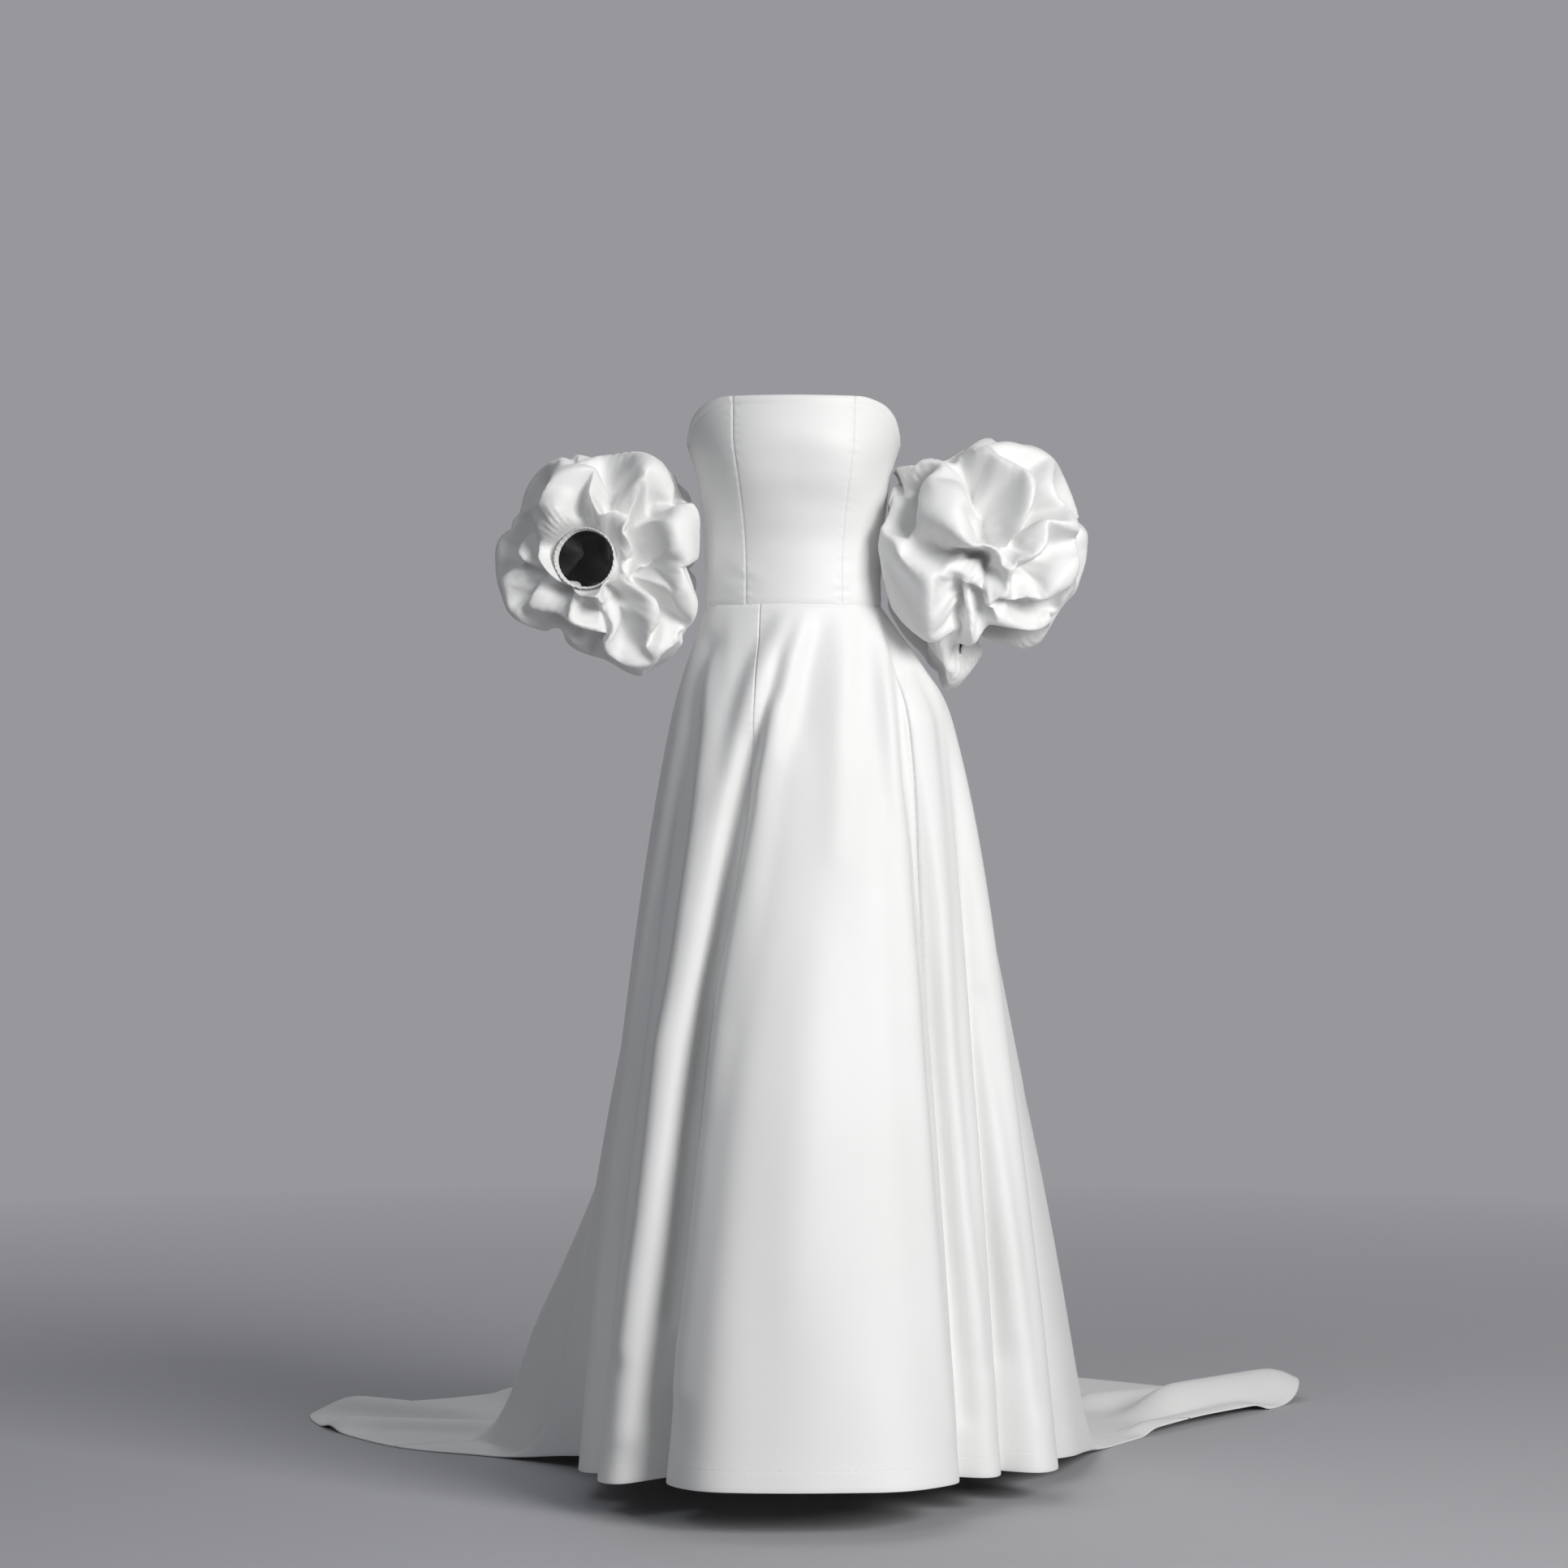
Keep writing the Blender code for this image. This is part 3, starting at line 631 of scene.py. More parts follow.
@dataclass
class Bodice:
    """The boned bodice: front, side and back panels between a neckline and the waist seam."""

    wardrobe: Wardrobe
    rings: tuple[BodiceRing, ...] = (
        BodiceRing(-0.002, 0.108, 0.084, 0.079),
        BodiceRing(0.030, 0.107, 0.083, 0.080),
        BodiceRing(0.070, 0.109, 0.084, 0.083),
        BodiceRing(0.110, 0.113, 0.094, 0.089),
        BodiceRing(0.157, 0.119, 0.111, 0.095),
        BodiceRing(0.200, 0.131, 0.118, 0.098),
        BodiceRing(0.255, 0.137, 0.108, 0.098),
    )
    neckline: tuple[tuple[float, float], ...] = (
        (0, 0.250), (35, 0.250), (52, 0.243), (66, 0.229), (80, 0.208), (95, 0.196), (120, 0.188), (180, 0.182),
    )
    bust_angle: float = 34.0
    bust_spread: float = 20.0
    bust_z: float = 0.168
    bust_drop: float = 0.048
    bust_rise: float = 0.007
    princess: float = 33.0
    side_seam: float = 88.0
    side_back: float = 134.0
    zip_half_angle: float = 2.9
    seam_depth: float = 0.0007
    seam_width: float = 0.0016
    edge_roll: float = 0.0007
    zip_groove: float = 0.0012
    zip_roll: float = 0.0005
    rows: int = 84
    pieces: list[bpy.types.Object] = field(default_factory=list)

    def surface(self, angles: Array, heights: Array) -> Array:
        """Return points on the outside of the bodice.

        Args:
            angles: Angles around the body in degrees.
            heights: Heights above the waist, in the shape of angles.

        Returns:
            The points, in a last axis.
        """
        keys = [ring.z for ring in self.rings]
        sizes = np.array([(ring.side, ring.front, ring.back) for ring in self.rings])
        read = calm_curve(keys, sizes, heights)
        turn = np.radians(angles)
        facing = 0.5 + 0.5 * np.tanh(np.cos(turn) * 6.0)
        depth = read[..., 1] * facing + read[..., 2] * (1 - facing)
        around = np.abs((angles + 180) % 360 - 180)
        swell = self.bust_rise * np.exp(-(((around - self.bust_angle) / self.bust_spread) ** 2))
        swell = swell * np.exp(-(((heights - self.bust_z) / self.bust_drop) ** 2))
        x = (read[..., 0] + swell) * np.sin(turn)
        y = -(depth + swell) * np.cos(turn)
        return np.stack([x, y, heights], axis=-1)

    def top(self, angles: Array) -> Array:
        """Return the height of the neckline at angles around the body."""
        around = np.abs((angles + 180) % 360 - 180)
        return calm_curve([row[0] for row in self.neckline], np.array([row[1] for row in self.neckline]), around)

    def panels(self) -> list[tuple[str, float, float]]:
        """Return each panel's name and the angles of its two seams, from the front to the left."""
        edge = 180 - self.zip_half_angle
        return [
            ("bodice_front", -self.princess, self.princess),
            ("bodice_side_front_left", self.princess, self.side_seam),
            ("bodice_side_back_left", self.side_seam, self.side_back),
            ("bodice_back_left", self.side_back, edge),
            ("back_zip", edge, 360 - edge),
            ("bodice_back_right", 360 - edge, 360 - self.side_back),
            ("bodice_side_back_right", 360 - self.side_back, 360 - self.side_seam),
            ("bodice_side_front_right", 360 - self.side_seam, 360 - self.princess),
        ]

    def columns(self) -> tuple[Array, list[int]]:
        """Return the angles of the columns around the body, and the column of each seam."""
        angles, seams = [], [0]
        for name, start, end in self.panels():
            count = 26 if name == "back_zip" else max(14, round((end - start) * 0.95))
            share = np.arange(count) / count
            eased = share - 0.72 * np.sin(2 * math.pi * share) / (2 * math.pi)
            angles.append(start + (end - start) * eased)
            seams.append(seams[-1] + count)
        return np.concatenate(angles), seams

    def relief(self, grid: Array, angles: Array) -> tuple[Array, Array]:
        """Return the rise of seams, edges and soft pulls over the bodice, and the distance from seams."""
        reach = np.hypot(grid[..., 0], grid[..., 1])
        seam = np.full(grid.shape[:2], 1.0)
        for _, start, _ in self.panels():
            turn = np.abs((angles - start + 180) % 360 - 180)
            seam = np.minimum(seam, np.radians(turn)[None, :] * reach)
        rise = -self.seam_depth * np.exp(-((seam / self.seam_width) ** 2))
        across = np.abs(np.mod(angles, 360) - 180)
        across = np.radians(across)[None, :] * reach
        rise -= self.zip_groove * np.exp(-((across / 0.0008) ** 2))
        rise += self.zip_roll * np.exp(-(((across - 0.0024) / 0.0016) ** 2))
        height = grid[..., 2]
        rise -= 0.0010 * np.exp(-((height / 0.003) ** 2))
        below_top = grid[:1, :, 2] - height
        rise += self.edge_roll * np.exp(-(((below_top - 0.004) / 0.004) ** 2))
        rise -= 0.0006 * np.exp(-(((below_top - 0.0105) / 0.0016) ** 2))
        waver = np.sin(height * 520 + 2.2 * np.sin(height * 91) + 1.3 * np.cos(height * 37))
        rise += 0.00028 * waver * np.exp(-((seam - 0.005) ** 2) / 0.004**2)
        for start, low, end, high, width, depth in self.pulls():
            path = self.surface(np.linspace(start, end, 14), np.linspace(low, high, 14))
            rise += fold_relief(grid, path, width, depth, Crest.ROLL)
        return rise, seam

    def pulls(self) -> list[tuple[float, float, float, float, float, float]]:
        """Return the soft pulls in the cloth: angle and height of both ends, half breadth and rise."""
        return [
            (-30, 0.215, 22, 0.190, 0.020, 0.0012),
            (-12, 0.135, 28, 0.120, 0.018, -0.0009),
            (-48, 0.052, -20, 0.030, 0.012, 0.0012),
            (-58, 0.030, -34, 0.016, 0.010, 0.0010),
            (24, 0.024, 52, 0.044, 0.012, 0.0012),
            (40, 0.012, 66, 0.026, 0.010, 0.0009),
            (-88, 0.060, -60, 0.045, 0.014, 0.0012),
            (60, 0.062, 92, 0.048, 0.014, 0.0012),
            (104, 0.040, 140, 0.058, 0.013, 0.0013),
            (142, 0.100, 172, 0.085, 0.018, 0.0011),
            (188, 0.070, 224, 0.052, 0.014, 0.0013),
            (192, 0.135, 226, 0.150, 0.020, -0.0010),
            (230, 0.045, 262, 0.034, 0.012, 0.0012),
        ]

    def build(self) -> None:
        """Make every panel from one surface around the body, so that they share their seams."""
        angles, seams = self.columns()
        top = self.top(angles)[None, :]
        share = np.linspace(0.0, 1.0, self.rows)[:, None]
        share = share - 0.35 * np.sin(2 * math.pi * share) / (2 * math.pi)
        heights = top * (1 - share)
        turn = np.broadcast_to(angles[None, :], heights.shape)
        grid = self.surface(turn, heights)
        rise, seam = self.relief(grid, angles)
        normals = ring_normals(grid)
        grid = grid + normals * rise[..., None]
        normals = ring_normals(grid)
        for row in (0, -1):
            normals[row, :, 2] *= 0.2
        normals = unit(normals)
        hem = np.full(seam.shape, 1.0)
        for index, (name, _, _) in enumerate(self.panels()):
            take = np.arange(seams[index], seams[index + 1] + 1) % len(angles)
            piece = Cloth(f"{name}_cloth", grid[:, take], normals[:, take], seam[:, take], hem[:, take])
            made = piece.build(self.wardrobe.satin, self.wardrobe.lining)
            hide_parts(name)
            self.pieces.append(made)

    def dress(self) -> None:
        for made in self.pieces:
            declare_sheet(made, ["skirt_front_cloth"] if "front" in made.name else ["skirt_back_left_cloth"])


def declare_sheet(made: bpy.types.Object, rests_on: list[str]) -> None:
    """Read a piece's flat map of the cloth; nothing is done with it afterwards.

    Args:
        made: The piece.
        rests_on: Names of the pieces that it hangs from or lies on; not used.
    """
    layer = made.data.uv_layers["cloth"]
    flat = np.empty(len(made.data.loops) * 2, np.float32)
    layer.uv.foreach_get("vector", flat)
    flat = flat.reshape(-1, 2)


@dataclass
class BackZip:
    """The coil and slider of the concealed zip, between the two lips of its tape."""

    wardrobe: Wardrobe
    bodice: Bodice
    low: float = 0.006
    high: float = 0.168
    pitch: float = 0.0019
    tooth: Point = (0.0022, 0.0009, 0.0011)
    slider: Point = (0.0062, 0.0026, 0.0080)
    pull: Point = (0.0042, 0.0011, 0.0150)
    stand_out: float = 0.0004

    def at(self, height: float) -> Array:
        """Return the point of the back's middle line at a height."""
        return self.bodice.surface(np.array([180.0]), np.array([height]))[0]

    def blocks(self, name: str, places: list[tuple[Array, Point, float]], finish: bpy.types.Material) -> None:
        """Make one piece of small rounded blocks.

        Args:
            name: The piece's name.
            places: Each block's middle, its sizes and the breadth of its rounded edges.
            finish: Its material.
        """
        mesh = bmesh.new()
        for middle, size, soft in places:
            block = bmesh.ops.create_cube(mesh, size=1.0)["verts"]
            for point in block:
                point.co = Vector([float(middle[i]) + point.co[i] * size[i] for i in range(3)])
            edges = list({edge for point in block for edge in point.link_edges})
            bmesh.ops.bevel(mesh, geom=edges, offset=soft, segments=2, affect="EDGES", profile=0.5)
        made = make_mesh(name, np.zeros((0, 3)), [], finish)
        mesh.to_mesh(made.data)
        mesh.free()
        made.data.shade_smooth()
        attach(made, "root")

    def build(self) -> None:
        """Make the coil's teeth, the slider and its pull."""
        count = int((self.high - self.low) / self.pitch)
        heights = self.low + self.pitch * np.arange(count)
        teeth = [(self.at(z) + (0.0006 * (-1) ** i, -0.0004, 0.0), self.tooth, 0.0002) for i, z in enumerate(heights)]
        self.blocks("back_zip_coil", teeth, self.wardrobe.coil)
        top = self.at(self.high + 0.004) + (0.0, self.stand_out, 0.0)
        self.blocks("back_zip_slider", [(top, self.slider, 0.0009)], self.wardrobe.tape)
        hang = self.at(self.high - 0.006) + (0.0, self.stand_out + 0.0016, 0.0)
        self.blocks("back_zip_pull", [(hang, self.pull, 0.0005)], self.wardrobe.tape)


# Skirt


@dataclass(frozen=True)
class FoldLine:
    """A line down the skirt that ends at the hem: its angles, its hem point and its lift off the floor."""

    name: str
    waist_deg: float
    hip_deg: float
    hem_x: float
    hem_y: float
    lift: float


@dataclass(frozen=True)
class TrainLine:
    """A line down the back of the skirt that lands and runs on along the floor."""

    name: str
    waist_deg: float
    knee_x: float
    knee_y: float
    land_x: float
    land_y: float
    hem_x: float
    hem_y: float


@dataclass(frozen=True)
class TrainFold:
    """A raised fold of the train, from one floor point to another."""

    x0: float
    y0: float
    x1: float
    y1: float
    width: float
    height: float


@dataclass(frozen=True)
class SkirtFold:
    """A soft fold on the hanging skirt, between two places given by line and share of the way down."""

    start: float
    top: float
    end: float
    low: float
    width: float
    height: float
    crest: Crest = Crest.ROLL


@dataclass(frozen=True)
class FrontFold:
    """A fold of the skirt's front, along (x, z) places as seen from the front; lean moves it along X."""

    width: float
    height: float
    path: tuple[Point2, ...]
    lean: float = 0.0


FRONT_FOLDS = (
    FrontFold(0.021, 0.0175, (
        (-0.004, -0.012), (-0.022, -0.050), (-0.046, -0.100), (-0.067, -0.165), (-0.085, -0.259), (-0.103, -0.334),
        (-0.121, -0.427), (-0.145, -0.529), (-0.160, -0.651), (-0.173, -0.775), (-0.189, -0.897), (-0.200, -1.000),
    )),
    FrontFold(0.011, -0.0260, (
        (-0.046, -0.170), (-0.056, -0.210), (-0.066, -0.260), (-0.086, -0.390), (-0.100, -0.464), (-0.106, -0.529),
        (-0.121, -0.651), (-0.133, -0.775), (-0.144, -0.860),
    )),
    FrontFold(0.013, 0.0120, (
        (-0.022, -0.130), (-0.036, -0.257), (-0.052, -0.343), (-0.074, -0.436), (-0.091, -0.530), (-0.108, -0.624),
        (-0.120, -0.735), (-0.131, -0.837), (-0.139, -0.940),
    ), -0.008),
    FrontFold(0.013, -0.0230, (
        (-0.108, -0.050), (-0.123, -0.100), (-0.125, -0.154), (-0.129, -0.190), (-0.136, -0.267), (-0.145, -0.346),
        (-0.160, -0.460), (-0.173, -0.533), (-0.185, -0.645), (-0.198, -0.741), (-0.210, -0.815), (-0.222, -0.907),
    )),
    FrontFold(0.011, 0.0060, (
        (-0.100, -0.070), (-0.105, -0.154), (-0.112, -0.210), (-0.120, -0.290), (-0.133, -0.380), (-0.148, -0.470),
        (-0.164, -0.560), (-0.178, -0.680), (-0.194, -0.790), (-0.208, -0.900),
    ), -0.010),
    FrontFold(0.014, 0.0050, ((-0.136, -0.160), (-0.160, -0.300), (-0.192, -0.500), (-0.222, -0.700), (-0.246, -0.880))),
    FrontFold(0.010, -0.0045, ((-0.030, -0.018), (-0.058, -0.070), (-0.078, -0.140), (-0.090, -0.210))),
    FrontFold(0.011, 0.0048, ((0.016, -0.020), (-0.002, -0.070), (-0.014, -0.120), (-0.022, -0.190))),
    FrontFold(0.008, -0.0050, ((0.004, -0.016), (-0.016, -0.060), (-0.032, -0.115), (-0.044, -0.180))),
    FrontFold(0.014, -0.0034, ((0.034, -0.014), (0.020, -0.070), (0.010, -0.150))),
    FrontFold(0.018, 0.0032, ((0.062, -0.014), (0.060, -0.080), (0.054, -0.180), (0.050, -0.300))),
    FrontFold(0.007, 0.0012, ((-0.030, -0.260), (-0.046, -0.380), (-0.066, -0.500))),
    FrontFold(0.005, -0.0012, ((-0.040, -0.280), (-0.058, -0.400), (-0.076, -0.500))),
    FrontFold(0.011, 0.0060, (
        (0.098, -0.010), (0.106, -0.058), (0.120, -0.210), (0.131, -0.300), (0.144, -0.464), (0.151, -0.564),
        (0.167, -0.774), (0.178, -0.897), (0.190, -0.990),
    )),
    FrontFold(0.008, -0.0150, (
        (0.113, -0.020), (0.125, -0.058), (0.138, -0.210), (0.149, -0.300), (0.162, -0.464), (0.168, -0.564),
        (0.184, -0.774), (0.194, -0.897), (0.205, -0.990),
    )),
    FrontFold(0.010, -0.0100, (
        (0.150, -0.080), (0.181, -0.138), (0.201, -0.375), (0.209, -0.548), (0.225, -0.740), (0.240, -0.844),
        (0.246, -0.926),
    )),
    FrontFold(0.012, 0.0045, ((0.150, -0.150), (0.178, -0.375), (0.190, -0.560), (0.206, -0.740), (0.224, -0.900))),
    FrontFold(0.010, -0.0080, ((0.232, -0.480), (0.268, -0.656), (0.288, -0.781), (0.298, -0.864), (0.311, -0.984))),
    FrontFold(0.012, 0.0045, ((0.212, -0.420), (0.240, -0.620), (0.262, -0.781), (0.276, -0.900))),
    FrontFold(0.030, 0.0026, ((0.020, -0.420), (0.010, -0.640), (-0.006, -0.860))),
    FrontFold(0.036, -0.0026, ((0.080, -0.360), (0.096, -0.640), (0.108, -0.900))),
)
FOLD_LINES = (
    FoldLine("left_back_fold", -122, -122, -0.300, 0.270, 0.016),
    FoldLine("left_back_valley", -111, -112, -0.250, 0.175, 0.030),
    FoldLine("left_1_back", -98, -97, -0.262, 0.075, 0.038),
    FoldLine("left_1", -80, -76, -0.263, -0.010, 0.040),
    FoldLine("left_1_valley", -66, -62, -0.214, -0.035, 0.042),
    FoldLine("left_2_edge", -57, -53, -0.242, -0.090, 0.044),
    FoldLine("left_2", -44, -38, -0.212, -0.138, 0.046),
    FoldLine("left_2_inner", -32, -26, -0.176, -0.116, 0.048),
    FoldLine("left_2_valley", -22, -18, -0.132, -0.088, 0.050),
    FoldLine("panel_left_edge", -13, -11, -0.155, -0.160, 0.052),
    FoldLine("panel_left", -5, -4, -0.112, -0.238, 0.055),
    FoldLine("panel_middle_left", 6, 5, -0.035, -0.258, 0.056),
    FoldLine("panel_middle_right", 24, 16, 0.055, -0.256, 0.056),
    FoldLine("panel_right", 42, 28, 0.135, -0.232, 0.054),
    FoldLine("panel_right_edge", 58, 39, 0.200, -0.145, 0.050),
    FoldLine("right_1_valley", 68, 46, 0.186, -0.080, 0.047),
    FoldLine("right_1", 76, 56, 0.238, -0.086, 0.045),
    FoldLine("right_1_edge", 84, 67, 0.256, -0.040, 0.044),
    FoldLine("right_2_valley", 90, 74, 0.240, 0.000, 0.042),
    FoldLine("right_2", 96, 84, 0.303, -0.016, 0.040),
    FoldLine("right_2_edge", 103, 93, 0.331, 0.042, 0.038),
    FoldLine("right_3_valley", 109, 102, 0.302, 0.105, 0.034),
    FoldLine("right_3", 117, 112, 0.355, 0.190, 0.028),
    FoldLine("right_3_edge", 126, 123, 0.384, 0.300, 0.018),
)
TRAIN_LINES = (
    TrainLine("right_seam", 136, 0.275, 0.252, 0.380, 0.375, 0.425, 0.440),
    TrainLine("right_side", 145, 0.250, 0.285, 0.374, 0.478, 0.548, 0.622),
    TrainLine("right_tip_front", 152, 0.222, 0.310, 0.370, 0.545, 0.700, 0.815),
    TrainLine("right_tip", 158, 0.190, 0.328, 0.352, 0.605, 0.725, 0.925),
    TrainLine("right_tip_back", 164, 0.152, 0.340, 0.335, 0.665, 0.595, 0.965),
    TrainLine("right_back", 171, 0.100, 0.352, 0.225, 0.725, 0.385, 1.115),
    TrainLine("back_middle", 180, 0.030, 0.358, 0.060, 0.755, 0.080, 1.310),
    TrainLine("left_back", 189, -0.040, 0.352, -0.115, 0.735, -0.225, 1.165),
    TrainLine("left_tip_back", 196, -0.090, 0.338, -0.235, 0.690, -0.455, 0.905),
    TrainLine("left_tip", 202, -0.130, 0.320, -0.350, 0.640, -0.650, 0.790),
    TrainLine("left_tip_front", 208, -0.165, 0.298, -0.415, 0.570, -0.662, 0.650),
    TrainLine("left_side", 216, -0.195, 0.272, -0.425, 0.480, -0.535, 0.442),
    TrainLine("left_seam", 227, -0.222, 0.235, -0.345, 0.372, -0.390, 0.352),
)
TRAIN_FOLDS = (
    TrainFold(0.520, 0.720, 0.700, 0.905, 0.065, 0.042),
    TrainFold(0.420, 0.800, 0.600, 0.900, 0.050, 0.020),
    TrainFold(0.480, 0.560, 0.640, 0.760, 0.040, 0.014),
    TrainFold(-0.440, 0.640, -0.620, 0.760, 0.055, 0.022),
    TrainFold(-0.430, 0.560, -0.610, 0.600, 0.045, 0.016),
    TrainFold(-0.300, 0.780, -0.400, 0.880, 0.045, 0.018),
    TrainFold(0.240, 0.820, 0.320, 1.080, 0.055, 0.022),
    TrainFold(0.050, 0.840, 0.060, 1.200, 0.060, 0.018),
    TrainFold(-0.120, 0.820, -0.180, 1.060, 0.055, 0.022),
)


@dataclass
class Skirt:
    """The gored skirt, whose folds fall from the waist seam and whose back runs on as a train."""

    wardrobe: Wardrobe
    bodice: Bodice
    hip_z: float = -0.137
    hip_left: float = 0.150
    hip_right: float = 0.193
    hip_front: float = 0.112
    hip_back: float = 0.135
    flare_bow: float = 0.40
    knee_z: float = -0.600
    low_share: float = 0.40
    low_height: float = 0.165
    flat_height: float = 0.045
    train_start: float = 0.34
    train_blend: float = 0.07
    levels: tuple[float, ...] = (0.0, 0.13, 0.56, 0.76, 0.86, 1.0)
    rows: int = 170
    column_width: float = 0.0085
    hem_turn: float = 0.024
    waist_hold: float = 0.016
    gores: tuple[tuple[str, str, str], ...] = (
        ("skirt_side_right", "left_back_valley", "left_2_valley"),
        ("skirt_front", "left_2_valley", "right_1_valley"),
        ("skirt_side_left", "right_1_valley", "right_3_valley"),
        ("skirt_side_back_left", "right_3_valley", "right_side"),
        ("skirt_back_left", "right_side", "back_middle"),
        ("skirt_back_right", "back_middle", "left_side"),
        ("skirt_side_back_right", "left_side", "left_back_valley"),
    )
    pieces: list[bpy.types.Object] = field(default_factory=list)

    @property
    def names(self) -> list[str]:
        """The names of the skirt's lines, in order around it."""
        return [line.name for line in FOLD_LINES + TRAIN_LINES]

    def waist(self, angle: float) -> tuple[float, float]:
        """Return the plan point of the waist ring at an angle."""
        point = self.bodice.surface(np.array([float(angle)]), np.array([0.0]))[0]
        return float(point[0]), float(point[1])

    def hip(self, angle: float) -> tuple[float, float]:
        """Return the plan point of the hip ring at an angle."""
        turn = math.radians(angle)
        side = self.hip_right if math.sin(turn) > 0 else self.hip_left
        depth = self.hip_front if math.cos(turn) > 0 else self.hip_back
        return side * math.sin(turn), -depth * math.cos(turn)

    def fold_points(self, line: FoldLine) -> list[Point]:
        """Return the points of a line that hangs clear of the floor, one for each level."""
        hem_z = FLOOR_Z + line.lift
        hip, hem = np.array(self.hip(line.hip_deg)), np.array((line.hem_x, line.hem_y))
        points = [(*self.waist(line.waist_deg), 0.0), (*hip, self.hip_z)]
        for level in self.levels[2:]:
            share = (level - self.levels[1]) / (1 - self.levels[1])
            spread = share + self.flare_bow * share * (1 - share)
            points.append((*(hip + (hem - hip) * spread), self.hip_z + (hem_z - self.hip_z) * share))
        return points

    def train_points(self, line: TrainLine) -> list[Point]:
        """Return the points of a line that lands and runs along the floor, one for each level."""
        ground = FLOOR_Z + CLOTH
        knee, land = np.array((line.knee_x, line.knee_y)), np.array((line.land_x, line.land_y))
        low = land + (knee - land) * self.low_share
        return [
            (*self.waist(line.waist_deg), 0.0),
            (*self.hip(line.waist_deg), self.hip_z),
            (*knee, self.knee_z),
            (*low, ground + self.low_height),
            (*land, ground),
            (line.hem_x, line.hem_y, ground),
        ]

    def stations(self, lines: Array) -> tuple[Array, list[int]]:
        """Return the places of the columns around the skirt, and the column at each line."""
        count = len(lines)
        places, starts = [], [0]
        for index in range(count):
            gap = np.linalg.norm(lines[(index + 1) % count, 2:] - lines[index, 2:], axis=1).max()
            steps = max(4, round(gap / self.column_width))
            places.append(index + np.arange(steps) / steps)
            starts.append(starts[-1] + steps)
        return np.concatenate(places), starts

    def lift(self, x: Array, y: Array) -> Array:
        """Return how high the train's folds stand above the floor at plan points."""
        height = np.zeros_like(x)
        plan = np.stack([x, y], axis=-1)
        for fold in TRAIN_FOLDS:
            away, _ = beside(plan, np.array([(fold.x0, fold.y0), (fold.x1, fold.y1)]))
            near = np.clip(1 - (away / fold.width) ** 2, 0.0, 1.0)
            height = np.maximum(height, fold.height * near**2)
        return height

    def on_floor(self, grid: Array) -> Array:
        """Return how far points belong to the train that lies on the floor, from 0 to 1."""
        height = grid[..., 2] - FLOOR_Z - CLOTH
        low = np.clip((self.low_height - height) / (self.low_height - self.flat_height), 0.0, 1.0)
        return low * np.clip((grid[..., 1] - self.train_start) / self.train_blend, 0.0, 1.0)

    def spot(self, rings: Array, station: Array, level: Array) -> Array:
        """Return points of the plain skirt at places around it and levels down it."""
        around = np.stack([round_curve(rings[:, step], station) for step in range(len(self.levels))])
        return np.array([calm_curve(self.levels, around[:, i], level[i : i + 1])[0] for i in range(len(station))])

    def folds(self) -> list[SkirtFold]:
        """Return the soft folds that lie over the skirt's main ones."""
        return [
            SkirtFold(10.6, 0.02, 8.6, 0.20, 0.026, 0.0060),
            SkirtFold(9.4, 0.03, 7.4, 0.26, 0.020, -0.0045),
            SkirtFold(12.6, 0.02, 11.8, 0.16, 0.022, 0.0030),
            SkirtFold(13.9, 0.02, 14.2, 0.30, 0.016, 0.0035),
            SkirtFold(6.2, 0.02, 6.0, 0.36, 0.012, 0.0030),
            SkirtFold(11.5, 0.30, 11.2, 0.75, 0.050, 0.0022),
            SkirtFold(12.6, 0.42, 12.9, 0.95, 0.060, -0.0025),
            SkirtFold(10.8, 0.70, 11.0, 0.98, 0.040, -0.0020),
            SkirtFold(16.3, 0.05, 16.6, 0.50, 0.014, 0.0030),
            SkirtFold(19.4, 0.10, 19.6, 0.60, 0.016, 0.0030),
            SkirtFold(22.4, 0.08, 22.5, 0.55, 0.020, 0.0040),
            SkirtFold(2.4, 0.06, 2.5, 0.60, 0.018, 0.0030),
            SkirtFold(25.4, 0.02, 25.2, 0.52, 0.024, 0.0090),
            SkirtFold(26.5, 0.03, 26.3, 0.50, 0.020, -0.0070),
            SkirtFold(27.5, 0.02, 27.2, 0.66, 0.026, 0.0120),
            SkirtFold(28.6, 0.03, 28.3, 0.62, 0.018, -0.0090),
            SkirtFold(29.3, 0.02, 29.2, 0.74, 0.030, 0.0110),
            SkirtFold(31.3, 0.02, 31.6, 0.60, 0.024, 0.0120),
            SkirtFold(32.3, 0.04, 32.6, 0.56, 0.020, -0.0090),
            SkirtFold(33.2, 0.02, 33.7, 0.70, 0.028, 0.0110),
            SkirtFold(35.3, 0.03, 35.6, 0.54, 0.022, 0.0090),
            SkirtFold(26.4, 0.34, 26.0, 0.86, 0.044, 0.0110),
            SkirtFold(28.3, 0.42, 27.9, 0.84, 0.040, -0.0090),
            SkirtFold(30.4, 0.40, 30.6, 0.84, 0.046, 0.0100),
            SkirtFold(32.6, 0.46, 33.0, 0.84, 0.040, -0.0090),
            SkirtFold(34.5, 0.36, 34.9, 0.86, 0.044, 0.0110),
        ]

